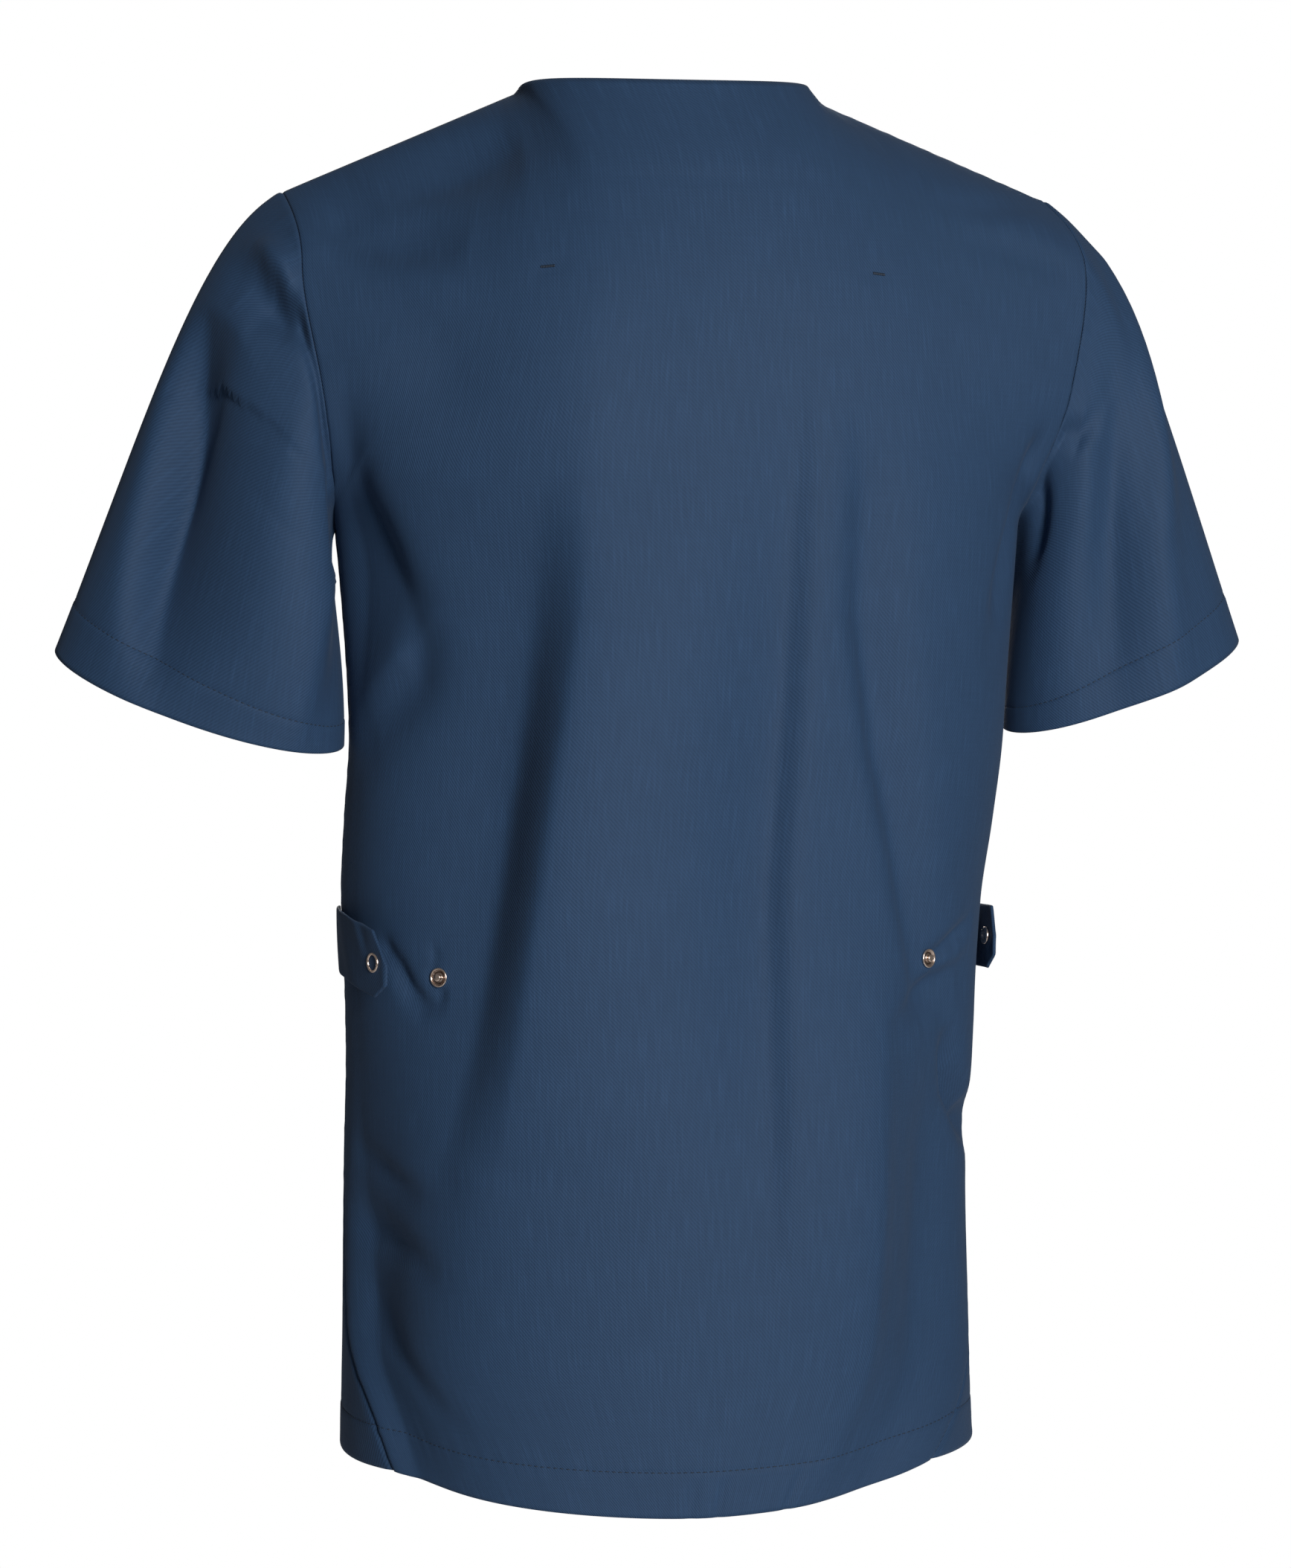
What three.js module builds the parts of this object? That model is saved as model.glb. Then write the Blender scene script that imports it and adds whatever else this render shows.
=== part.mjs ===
// Short-sleeved scrub top in its worn, filled-out form, with nobody in it.
// Millimetres, +Z up, the wearer faces -Y, and +X is the wearer's left.
// The origin lies midway between the two points where the shoulder seams meet the neck.

import * as THREE from 'three';

// Cloth and seams
const clothWall = 1.6; // cloth with its turned edges, as one wall
const tabWall = 2.0; // two layers and their turnings
const seamGap = 0.3; // space between neighbouring pieces
const neckHalfWidth = 78;
const backNeckDepth = 65; // how far the back neck lies behind the shoulder seams
const backNeckDrop = 9;
const frontNeckDrop = 165;
const frontNeckDepth = 104;
const shoulderHalfWidth = 207.5;
const shoulderDrop = 56; // shoulder seam's fall from neck to armhole
const shoulderForward = 5; // the seam's armhole end lies a little behind the neck point
const shoulderSway = -4; // both armhole ends have moved towards the wearer's right
const shoulderLean = 4.7; // fall of the left armhole end, which is also the rise of the right one
const neckColumn = 0.38; // share of a half panel's width that the neck takes
const shoulderRounding = 110; // how strongly the panels are rounded over the shoulder
const neckBlend = 0.22; // how far the neck corner's turn spreads into the cloth below it
const backNeckSquareness = 0.7; // 1 is an ellipse seen from above, less is squarer
const backNeckFall = 1.4; // how the neck edge's fall runs from shoulder seam to centre back
const frontNeckBulge = 2.2; // how far the V runs forward before it turns in
const topEase = { x: 1.5, y: 3.2, z: 1.4 }; // how late the cloth takes on the top edge's place
const shoulderRound = { from: 0.15, over: 0.3 }; // where that rounding comes in, by half width
const seamFadeAcross = 0.12; // share of the half width by which folds have faded out at a side seam
const seamFadeUp = 0.8; // the same at the top edge, in stations
const sleeveFadeAlong = 0.18; // the same at the armhole, as a share of the sleeve's length
const foldRunOut = 1.6; // how far a fold runs out past its ends, in its own widths
const foldEndShare = 0.55; // a fold's depth at its ends, as a share of its full depth
const cuffForward = 0.12; // the cuffs hang a little forward

// Snap fastener, 10 mm line
const ringOuterRadius = 5.0;
const ringInnerRadius = 3.2;
const ringHeight = 0.9;
const socketRadius = 4.7;
const socketHeight = 1.7;
const socketMouthRadius = 2.2;
const socketMouthDepth = 1.2;
const studFlangeRadius = 4.7;
const studFlangeHeight = 0.6;
const studPostRadius = 1.7;
const studHeadRadius = 2.2;
const studHeight = 2.6;
const roundSides = 20;
const snapSeat = 0.35; // space under a metal piece that rests on cloth

// Adjuster tabs
const tabWidth = 34;
const tabChamferLength = 12;
const tabChamferTop = 15;
const tabChamferBottom = 9;
const tabSnapInset = 13; // snap centre from the tab's free end

// Grid of each cloth piece
const halfNeckColumns = 5;
const halfShoulderColumns = 9;
const rowsPerTubeInterval = 1.7;
const rowsPerArmInterval = 3.25;
const sleeveRows = 11;

const navy = 0x2d3f56;
const nickel = 0xb9aca6;

// Sections of the body from hem (at 0) to shoulder (at 13). edge is the height of the side seam or
// armhole, half the half width, sway the middle's sideways offset and lean the fall of the wearer's left
// edge, which is also the rise of the right one. round is 1 on a closed tube and less on an open arc,
// and full shapes the section: 1 is an ellipse, less is squarer. swingLeft and swingRight are the
// degrees by which a side seam has turned to the back. For each panel: Mid is the height at its centre
// line, Depth how far that lies from the shoulder line and Edge how far the armhole edge does. frontHalf
// is the front's own half width where it is cut narrower.
const bodyRows = [
  {
    at: 0, edge: -716, half: 169, sway: 2.5, lean: 0, round: 1, full: 0.9,
    swingLeft: 30, swingRight: 41,
    backMid: -729.5, backDepth: 134, backEdge: 0,
    frontHalf: 169, frontMid: -723, frontDepth: 127, frontEdge: 0,
  },
  {
    at: 0.4, edge: -690, half: 168.3, sway: 2.7, lean: 0, round: 1, full: 0.88,
    swingLeft: 22, swingRight: 27,
    backMid: -701, backDepth: 132.5, backEdge: 0,
    frontHalf: 168.3, frontMid: -696, frontDepth: 126, frontEdge: 0,
  },
  {
    at: 1, edge: -650, half: 167.5, sway: 3, lean: 0, round: 1, full: 0.85,
    swingLeft: 6, swingRight: 8,
    backMid: -657, backDepth: 130, backEdge: 0,
    frontHalf: 167.5, frontMid: -653, frontDepth: 125, frontEdge: 0,
  },
  {
    at: 2, edge: -571, half: 167, sway: 2.5, lean: 0, round: 1, full: 0.8,
    swingLeft: 0, swingRight: 0,
    backMid: -576, backDepth: 126, backEdge: 0,
    frontHalf: 167, frontMid: -573, frontDepth: 123, frontEdge: 0,
  },
  {
    at: 3, edge: -515, half: 168, sway: 0.5, lean: 0, round: 1, full: 0.8,
    swingLeft: 0, swingRight: 0,
    backMid: -518, backDepth: 122, backEdge: 0,
    frontHalf: 168, frontMid: -517, frontDepth: 121, frontEdge: 0,
  },
  {
    at: 4, edge: -469, half: 169.5, sway: 0, lean: 0, round: 1, full: 0.8,
    swingLeft: 0, swingRight: 0,
    backMid: -470, backDepth: 119, backEdge: 0,
    frontHalf: 169.5, frontMid: -471, frontDepth: 120, frontEdge: 0,
  },
  {
    at: 5, edge: -433, half: 171.5, sway: -0.5, lean: 0, round: 1, full: 0.8,
    swingLeft: 0, swingRight: 0,
    backMid: -432, backDepth: 117, backEdge: 0,
    frontHalf: 171.5, frontMid: -436, frontDepth: 119, frontEdge: 0,
  },
  {
    at: 6, edge: -389, half: 174, sway: -4.5, lean: 0, round: 1, full: 0.8,
    swingLeft: 0, swingRight: 0,
    backMid: -386, backDepth: 115.5, backEdge: 0,
    frontHalf: 174, frontMid: -393, frontDepth: 119, frontEdge: 0,
  },
  {
    at: 7, edge: -341, half: 175.8, sway: -8.8, lean: 0, round: 1, full: 0.8,
    swingLeft: 0, swingRight: 0,
    backMid: -334, backDepth: 114.5, backEdge: 0,
    frontHalf: 175.8, frontMid: -346, frontDepth: 119, frontEdge: 0,
  },
  {
    at: 8, edge: -285, half: 179.5, sway: -9.5, lean: 0, round: 1, full: 0.8,
    swingLeft: 0, swingRight: 0,
    backMid: -273, backDepth: 114, backEdge: 0,
    frontHalf: 179.5, frontMid: -294, frontDepth: 119, frontEdge: 0,
  },
  {
    at: 9, edge: -236, half: 184, sway: -9.5, lean: 0, round: 1, full: 0.8,
    swingLeft: 0, swingRight: 0,
    backMid: -218, backDepth: 113.5, backEdge: 0,
    frontHalf: 184, frontMid: -250, frontDepth: 118.5, frontEdge: 0,
  },
  {
    at: 10, edge: -213, half: 188, sway: -10.5, lean: 0.8, round: 0.8, full: 0.87,
    swingLeft: 0, swingRight: 0,
    backMid: -172, backDepth: 111, backEdge: 32,
    frontHalf: 184, frontMid: -233, frontDepth: 117, frontEdge: 30,
  },
  {
    at: 11, edge: -167, half: 199, sway: -14, lean: 2, round: 0.5, full: 0.97,
    swingLeft: 0, swingRight: 0,
    backMid: -119, backDepth: 104.5, backEdge: 54,
    frontHalf: 186, frontMid: -212, frontDepth: 114.5, frontEdge: 46,
  },
  {
    at: 12, edge: -110, half: 209, sway: -14.5, lean: 3.7, round: 0.35, full: 1.03,
    swingLeft: 0, swingRight: 0,
    backMid: -62, backDepth: 90, backEdge: 46,
    frontHalf: 198, frontMid: -189, frontDepth: 110.5, frontEdge: 36,
  },
  {
    at: 13, edge: -56, half: 207.5, sway: -4, lean: 4.7, round: 0.25, full: 1.06,
    swingLeft: 0, swingRight: 0,
    backMid: -9, backDepth: 65, backEdge: 5,
    frontHalf: 207.5, frontMid: -165, frontDepth: 104, frontEdge: -5,
  },
];
const hemStation = 0;
const underarmStation = 9;
const shoulderStation = 13;
const hemBow = 1.7; // how a row's height runs from its middle to its edge

// Folds of the two panels. across is measured along the cloth from the centre line, towards the wearer's
// left, and height from the neck point. width is the fold's half width, and a negative depth is a ridge.
const halfGirth = 240;
const backFolds = [
  {
    fold: 'left long trough, upper',
    across: 60, height: -220, toAcross: 80, toHeight: -376, width: 17, depth: 7,
  },
  {
    fold: 'left long trough, lower',
    across: 80, height: -376, toAcross: 112, toHeight: -560, width: 20, depth: 9,
  },
  {
    fold: 'left long ridge', across: 38, height: -240, toAcross: 76, toHeight: -600, width: 24, depth: -5,
  },
  {
    fold: 'centre right trough',
    across: -42, height: -170, toAcross: -32, toHeight: -500, width: 18, depth: 4,
  },
  { fold: 'right trough', across: -62, height: -215, toAcross: -72, toHeight: -350, width: 14, depth: 4 },
  {
    fold: 'right trough to the stud',
    across: -72, height: -350, toAcross: -113, toHeight: -470, width: 15, depth: 6,
  },
  {
    fold: 'right lower edge', across: -104, height: -480, toAcross: -92, toHeight: -700, width: 16, depth: -4,
  },
  {
    fold: 'left underarm pocket',
    across: 178, height: -228, toAcross: 138, toHeight: -298, width: 16, depth: 8,
  },
  {
    fold: 'left underarm drag', across: 140, height: -300, toAcross: 200, toHeight: -350, width: 13, depth: 5,
  },
  {
    fold: 'right underarm pocket',
    across: -205, height: -225, toAcross: -185, toHeight: -300, width: 15, depth: 6,
  },
  {
    fold: 'left shoulder drag', across: 215, height: -68, toAcross: 110, toHeight: -100, width: 11, depth: 3,
  },
  {
    fold: 'right shoulder drag', across: -205, height: -72, toAcross: -130, toHeight: -66, width: 9, depth: 2,
  },
  {
    fold: 'left seat drag', across: 206, height: -560, toAcross: 145, toHeight: -590, width: 12, depth: 4,
  },
  {
    fold: 'left hem flute', across: 158, height: -620, toAcross: 160, toHeight: -728, width: 16, depth: -5,
  },
  {
    fold: 'right hem flute', across: -128, height: -650, toAcross: -130, toHeight: -728, width: 16, depth: 5,
  },
];
const frontFolds = [
  {
    fold: 'left long trough', across: 78, height: -290, toAcross: 98, toHeight: -600, width: 19, depth: 7,
  },
  { fold: 'left ridge', across: 52, height: -300, toAcross: 66, toHeight: -640, width: 22, depth: -4 },
  {
    fold: 'centre soft trough', across: 6, height: -330, toAcross: -12, toHeight: -560, width: 22, depth: 4,
  },
  {
    fold: 'right long trough', across: -70, height: -270, toAcross: -104, toHeight: -520, width: 18, depth: 7,
  },
  {
    fold: 'left underarm drag', across: 205, height: -232, toAcross: 130, toHeight: -280, width: 14, depth: 6,
  },
  {
    fold: 'right underarm drag',
    across: -208, height: -232, toAcross: -128, toHeight: -290, width: 14, depth: 6,
  },
  {
    fold: 'left chest drag', across: 170, height: -110, toAcross: 84, toHeight: -190, width: 13, depth: 3,
  },
  {
    fold: 'right chest drag', across: -168, height: -112, toAcross: -88, toHeight: -186, width: 12, depth: 3,
  },
  {
    fold: 'right hem flute', across: -150, height: -620, toAcross: -156, toHeight: -722, width: 18, depth: -5,
  },
];

// Sleeves. The cuff is an ellipse: outer is its half width, deep its half depth, tilt lifts its outer
// end and pitch drops its back edge. The three middle values are its centre.
const sleeves = {
  left: {
    side: 1, middleX: 244.5, middleY: -3, middleZ: -325.3, outer: 80, deep: 42, tilt: 19, pitch: 21, yaw: -11,
    hug: 0,
  },
  right: {
    side: -1, middleX: 260, middleY: -10, middleZ: -314, outer: 70, deep: 50, tilt: 21, pitch: 17, yaw: 8,
    hug: 0.3,
  },
};
// How the sleeve leaves the armhole, by share of the way round it: from the underarm (0) by the back
// (0.25), the shoulder (0.5) and the front (0.75). out, back and up give the direction and reach how far
// it holds; out2, up2 and reach2 do the same at the cuff. hug is where a sleeve may lie closer to the
// arm behind.
const sleeveStarts = [
  { at: 0, out: 0.75, back: 0.0, up: -0.66, reach: 11, out2: 0.03, up2: -1.0, reach2: 40, hug: 0 },
  { at: 0.12, out: 0.8, back: 0.1, up: -0.58, reach: 17, out2: 0.1, up2: -0.99, reach2: 50, hug: 0.3 },
  { at: 0.3, out: 0.8, back: 0.02, up: -0.6, reach: 30, out2: 0.27, up2: -0.96, reach2: 82, hug: 1 },
  { at: 0.4, out: 0.86, back: 0.02, up: -0.52, reach: 35, out2: 0.33, up2: -0.95, reach2: 88, hug: 1 },
  { at: 0.5, out: 0.95, back: 0.0, up: -0.32, reach: 44, out2: 0.37, up2: -0.93, reach2: 88, hug: 0 },
  { at: 0.6, out: 0.88, back: -0.02, up: -0.48, reach: 36, out2: 0.33, up2: -0.95, reach2: 86, hug: 0 },
  { at: 0.7, out: 0.85, back: -0.04, up: -0.52, reach: 33, out2: 0.3, up2: -0.95, reach2: 84, hug: 0 },
  { at: 0.88, out: 0.82, back: -0.13, up: -0.56, reach: 17, out2: 0.12, up2: -0.99, reach2: 50, hug: 0 },
  { at: 1, out: 0.75, back: 0.0, up: -0.66, reach: 11, out2: 0.03, up2: -1.0, reach2: 40, hug: 0 },
];
// Folds of a sleeve. round is the share of the way round, along the share from armhole to cuff; width is
// the fold's half width along the cloth.
const sleeveGirth = 400;
const sleeveLength = 200;
const sleeveFolds = {
  left: [
    {
      fold: 'long back trough', round: 0.36, along: 0.3, toRound: 0.27, toAlong: 1.0, width: 16, depth: 7,
    },
    { fold: 'back ridge', round: 0.16, along: 0.15, toRound: 0.19, toAlong: 0.8, width: 14, depth: -3 },
    { fold: 'cap trough', round: 0.3, along: 0.12, toRound: 0.42, toAlong: 0.16, width: 12, depth: 4 },
    { fold: 'front trough', round: 0.74, along: 0.25, toRound: 0.72, toAlong: 1.0, width: 17, depth: 6 },
  ],
  right: [
    { fold: 'back ridge', round: 0.36, along: 0.2, toRound: 0.34, toAlong: 1.0, width: 14, depth: -4 },
    { fold: 'back trough', round: 0.24, along: 0.35, toRound: 0.24, toAlong: 0.9, width: 18, depth: 5 },
    {
      fold: 'short dark fold', round: 0.22, along: 0.3, toRound: 0.3, toAlong: 0.24, width: 10, depth: 5,
    },
    { fold: 'front trough', round: 0.7, along: 0.25, toRound: 0.73, toAlong: 1.0, width: 17, depth: 6 },
  ],
};

// Tabs, from the side seam to the free end. angle is measured round the body from the centre back and
// stand is the tab's distance from the body.
const tabs = {
  left: { side: 1, rootHeight: -455, rows: [
    { at: 0, angle: 97, stand: 0.5, drop: 0 },
    { at: 0.35, angle: 83, stand: 1.8, drop: 1 },
    { at: 0.7, angle: 69, stand: 4.8, drop: 5 },
    { at: 1, angle: 57, stand: 8.5, drop: 11 },
  ] },
  right: { side: -1, rootHeight: -453, rows: [
    { at: 0, angle: 101, stand: 0.5, drop: 0 },
    { at: 0.35, angle: 94, stand: 3, drop: 0 },
    { at: 0.7, angle: 87, stand: 6, drop: 0 },
    { at: 1, angle: 82, stand: 8.5, drop: 1 },
  ] },
};
const tabRows = 12;

// Studs on the back panel: angle round the body from the centre back, and height
const studs = {
  left: { side: 1, angle: 49, height: -467 },
  right: { side: -1, angle: 50, height: -462 },
};

const mix = (from, to, share) => from + (to - from) * share;
const clamp = (value, low, high) => Math.min(high, Math.max(low, value));
const degrees = (angle) => THREE.MathUtils.degToRad(angle);
const smooth = (value) => value * value * (3 - 2 * value);

// A column of a table at any station, as a smooth curve through its rows that never overshoots them
function column(rows, name, station) {
  const last = rows.length - 1;
  let row = 0;
  while (row < last - 1 && station > rows[row + 1].at) row += 1;
  const rise = (index) => {
    const start = rows[clamp(index, 0, last - 1)];
    const end = rows[clamp(index, 0, last - 1) + 1];
    return (end[name] - start[name]) / (end.at - start.at);
  };
  const slope = (index) => {
    const before = rise(index - 1);
    const after = rise(index);
    return before * after > 0 ? 2 * before * after / (before + after) : 0;
  };
  const span = rows[row + 1].at - rows[row].at;
  const share = (station - rows[row].at) / span;
  const eased = smooth(share);
  return mix(rows[row][name], rows[row + 1][name], eased)
    + span * share * (1 - share) * ((1 - share) * slope(row) - share * slope(row + 1));
}

// Depth of all folds of a table at one place
function foldDepth(folds, across, height) {
  let sum = 0;
  for (const fold of folds) {
    const runAcross = fold.toAcross - fold.across;
    const runHeight = fold.toHeight - fold.height;
    const run = Math.hypot(runAcross, runHeight);
    const offsetAcross = across - fold.across;
    const offsetHeight = height - fold.height;
    const along = (offsetAcross * runAcross + offsetHeight * runHeight) / (run * run);
    const away = (offsetAcross * runHeight - offsetHeight * runAcross) / run / fold.width;
    const past = Math.max(0, -along, along - 1) * run / (foldRunOut * fold.width);
    const taper = mix(foldEndShare, 1, Math.sin(Math.PI * clamp(along, 0, 1)));
    sum += fold.depth * taper * Math.exp(-away * away - past * past);
  }
  return sum;
}

// A panel's section before the neck and shoulder are shaped. u runs from -1 to 1 towards the wearer's
// left.
function section(panel, u, station) {
  const at = (name) => column(bodyRows, name, station);
  const isBack = panel === 'back';
  const swing = u > 0 ? at('swingLeft') : at('swingRight');
  const angle = degrees(u * (isBack ? 90 - swing : 90 + swing));
  const half = isBack || station <= underarmStation ? at('half') : at('frontHalf');
  const edge = isBack ? at('backEdge') : at('frontEdge');
  const depth = isBack ? at('backDepth') : at('frontDepth');
  const middle = isBack ? at('backMid') : at('frontMid');
  const turn = Math.cos(angle);
  const out = Math.sign(turn) * Math.abs(turn) ** at('full');
  const lead = isBack ? 1 : -1;
  const reach = out < 0 ? at('backDepth') : depth;
  return new THREE.Vector3(
    at('sway') + half * mix(u, Math.sin(angle), at('round')),
    lead * (edge + (reach - edge) * out),
    mix(middle, at('edge'), Math.abs(u) ** hemBow) - at('lean') * u,
  );
}

// The panel's top edge: shoulder seams outside, neck edge between them
function topEdge(panel, u) {
  const side = Math.sign(u);
  const part = Math.abs(u);
  const point = new THREE.Vector3();
  if (part >= neckColumn) {
    const along = (part - neckColumn) / (1 - neckColumn);
    point.x = side * mix(neckHalfWidth, shoulderHalfWidth, along) + shoulderSway * along;
    point.y = shoulderForward * along;
    point.z = -shoulderDrop * along;
  } else if (panel === 'back') {
    const turn = degrees(90 * part / neckColumn);
    point.x = side * neckHalfWidth * Math.sin(turn);
    point.y = backNeckDepth * Math.max(0, Math.cos(turn)) ** backNeckSquareness;
    point.z = -backNeckDrop * Math.max(0, Math.cos(turn)) ** backNeckFall;
  } else {
    const along = part / neckColumn;
    point.x = side * neckHalfWidth * along;
    point.y = -frontNeckDepth * (1 - along ** frontNeckBulge);
    point.z = -frontNeckDrop * (1 - along);
  }
  point.z -= shoulderLean * point.x / shoulderHalfWidth;
  return point;
}

// What the section lacks of the top edge, averaged over a stretch to each side of u
function topShift(panel, u, reach) {
  const shift = new THREE.Vector3();
  const samples = 9;
  for (let sample = 0; sample < samples; sample += 1) {
    const place = clamp(u + reach * (2 * sample / (samples - 1) - 1), -1, 1);
    shift.add(topEdge(panel, place)).sub(section(panel, place, shoulderStation));
  }
  return shift.divideScalar(samples);
}

function panelPoint(panel, u, station) {
  const point = section(panel, u, station);
  if (station > underarmStation) {
    const share = (station - underarmStation) / (shoulderStation - underarmStation);
    const reach = Math.min(neckBlend * Math.sqrt(1 - share), 1 - Math.abs(u));
    const shift = topShift(panel, u, reach);
    point.x += shift.x * share ** topEase.x;
    point.y += shift.y * share ** topEase.y;
    point.z += shift.z * share ** topEase.z;
    const onShoulder = smooth(clamp((Math.abs(u) - shoulderRound.from) / shoulderRound.over, 0, 1));
    point.z += shoulderRounding * onShoulder * share ** 4 * (1 - share);
  }
  return point;
}

// Normals of a grid of points, from its neighbours; closed grids join their last column to the first
function gridNormals(grid, closed) {
  const rows = grid.length;
  const columns = grid[0].length;
  return grid.map((line, row) => line.map((point, index) => {
    const left = closed ? line[(index - 1 + columns) % columns] : line[Math.max(index - 1, 0)];
    const right = closed ? line[(index + 1) % columns] : line[Math.min(index + 1, columns - 1)];
    const below = grid[Math.max(row - 1, 0)][index];
    const above = grid[Math.min(row + 1, rows - 1)][index];
    const across = new THREE.Vector3().subVectors(right, left);
    const up = new THREE.Vector3().subVectors(above, below);
    return across.cross(up).normalize();
  }));
}

// Folds fade out near the seams, so that neighbouring panels still meet
function seamFade(u, station) {
  const side = clamp((1 - Math.abs(u)) / seamFadeAcross, 0, 1);
  const top = clamp((shoulderStation - station) / seamFadeUp, 0, 1);
  return smooth(side) * smooth(top);
}

const columnPlaces = [];
const halfColumns = halfNeckColumns + halfShoulderColumns;
for (let index = -halfColumns; index <= halfColumns; index += 1) {
  const step = Math.abs(index);
  const part = step <= halfNeckColumns
    ? neckColumn * step / halfNeckColumns
    : mix(neckColumn, 1, (step - halfNeckColumns) / halfShoulderColumns);
  columnPlaces.push(Math.sign(index) * part);
}
const tubeSteps = Math.round(rowsPerTubeInterval * (underarmStation - hemStation));
const armSteps = Math.round(rowsPerArmInterval * (shoulderStation - underarmStation));
const stations = [];
for (let step = 0; step <= tubeSteps; step += 1) {
  stations.push(mix(hemStation, underarmStation, step / tubeSteps));
}
for (let step = 1; step <= armSteps; step += 1) {
  stations.push(mix(underarmStation, shoulderStation, step / armSteps));
}

// The front runs the other way across, so that both panels face out with the same rule
function panelGrid(panel) {
  const places = panel === 'back' ? [...columnPlaces].reverse() : columnPlaces;
  const folds = panel === 'back' ? backFolds : frontFolds;
  const grid = stations.map((station) => places.map((u) => panelPoint(panel, u, station)));
  const normals = gridNormals(grid, false);
  return grid.map((line, row) => line.map((point, index) => {
    const u = places[index];
    const depth = foldDepth(folds, u * halfGirth, point.z) * seamFade(u, stations[row]);
    return point.clone().addScaledVector(normals[row][index], -depth);
  }));
}

// The cuff's point at a share of the way round: 0 at the underarm seam, 0.25 behind, 0.5 outside, 0.75
// in front
function cuffPoint(form, share) {
  const turn = degrees(360 * share);
  const tilt = degrees(form.tilt);
  const pitch = degrees(form.pitch);
  const yaw = degrees(form.yaw);
  const level = Math.cos(tilt);
  const outward = new THREE.Vector3(level * Math.cos(yaw), level * Math.sin(yaw), Math.sin(tilt));
  const backward = new THREE.Vector3(-Math.sin(yaw), Math.cos(pitch), -Math.sin(pitch));
  const point = new THREE.Vector3(form.middleX, form.middleY, form.middleZ)
    .addScaledVector(outward, -form.outer * Math.cos(turn))
    .addScaledVector(backward, form.deep * Math.sin(turn));
  point.x *= form.side;
  return point;
}

// A sleeve from its armhole loop to the cuff. The loop starts at the underarm and goes up the back.
function sleeveGrid(loop, form, folds) {
  const reaches = [0];
  for (let index = 1; index <= loop.length; index += 1) {
    reaches.push(reaches[index - 1] + loop[index % loop.length].distanceTo(loop[index - 1]));
  }
  const round = reaches[loop.length];
  const shares = loop.map((point, index) => reaches[index] / round);
  const grid = [];
  for (let row = 0; row <= sleeveRows; row += 1) {
    const along = row / sleeveRows;
    grid.push(loop.map((start, index) => {
      const share = shares[index];
      const at = (name) => column(sleeveStarts, name, share);
      const end = cuffPoint(form, share);
      const out = at('out') * (1 - form.hug * at('hug'));
      const first = new THREE.Vector3(form.side * out, at('back'), at('up')).normalize();
      const last = new THREE.Vector3(form.side * at('out2'), -cuffForward, at('up2')).normalize();
      const curve = new THREE.CubicBezierCurve3(
        start,
        start.clone().addScaledVector(first, at('reach')),
        end.clone().addScaledVector(last, -at('reach2')),
        end,
      );
      return curve.getPoint(along);
    }));
  }
  const facing = form.side > 0 ? 1 : -1;
  const normals = gridNormals(grid, true);
  return grid.map((line, row) => line.map((point, index) => {
    const along = row / sleeveRows;
    let depth = 0;
    for (const turn of [-1, 0, 1]) {
      const placed = folds.map((fold) => ({
        across: fold.round * sleeveGirth,
        height: fold.along * sleeveLength,
        toAcross: fold.toRound * sleeveGirth,
        toHeight: fold.toAlong * sleeveLength,
        width: fold.width,
        depth: fold.depth,
      }));
      depth += foldDepth(placed, (shares[index] + turn) * sleeveGirth, along * sleeveLength);
    }
    const fade = smooth(clamp(along / sleeveFadeAlong, 0, 1));
    return point.clone().addScaledVector(normals[row][index], -facing * depth * fade);
  }));
}

// A closed wall between a grid of outer points and the same points moved in along the given normals
function wallGeometry(grid, normals, wall, closed) {
  const rows = grid.length;
  const columns = grid[0].length;
  const positions = [];
  for (const line of grid) {
    for (const point of line) positions.push(point.x, point.y, point.z);
  }
  grid.forEach((line, row) => line.forEach((point, index) => {
    const inner = point.clone().addScaledVector(normals[row][index], -wall);
    positions.push(inner.x, inner.y, inner.z);
  }));
  const innerStart = rows * columns;
  const faces = [];
  const quad = (a, b, c, d) => faces.push(a, b, c, a, c, d);
  const spans = closed ? columns : columns - 1;
  for (let row = 0; row < rows - 1; row += 1) {
    for (let index = 0; index < spans; index += 1) {
      const next = (index + 1) % columns;
      const a = row * columns + index;
      const b = row * columns + next;
      const c = (row + 1) * columns + next;
      const d = (row + 1) * columns + index;
      quad(a, b, c, d);
      quad(innerStart + d, innerStart + c, innerStart + b, innerStart + a);
    }
  }
  for (let index = 0; index < spans; index += 1) {
    const next = (index + 1) % columns;
    const top = (rows - 1) * columns;
    quad(innerStart + index, innerStart + next, next, index);
    quad(top + index, top + next, innerStart + top + next, innerStart + top + index);
  }
  if (!closed) {
    for (let row = 0; row < rows - 1; row += 1) {
      const a = row * columns;
      const b = (row + 1) * columns;
      const right = columns - 1;
      quad(innerStart + a, a, b, innerStart + b);
      quad(a + right, innerStart + a + right, innerStart + b + right, b + right);
    }
  }
  const geometry = new THREE.BufferGeometry();
  geometry.setAttribute('position', new THREE.Float32BufferAttribute(positions, 3));
  geometry.setIndex(faces);
  geometry.computeVertexNormals();
  return geometry;
}

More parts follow.
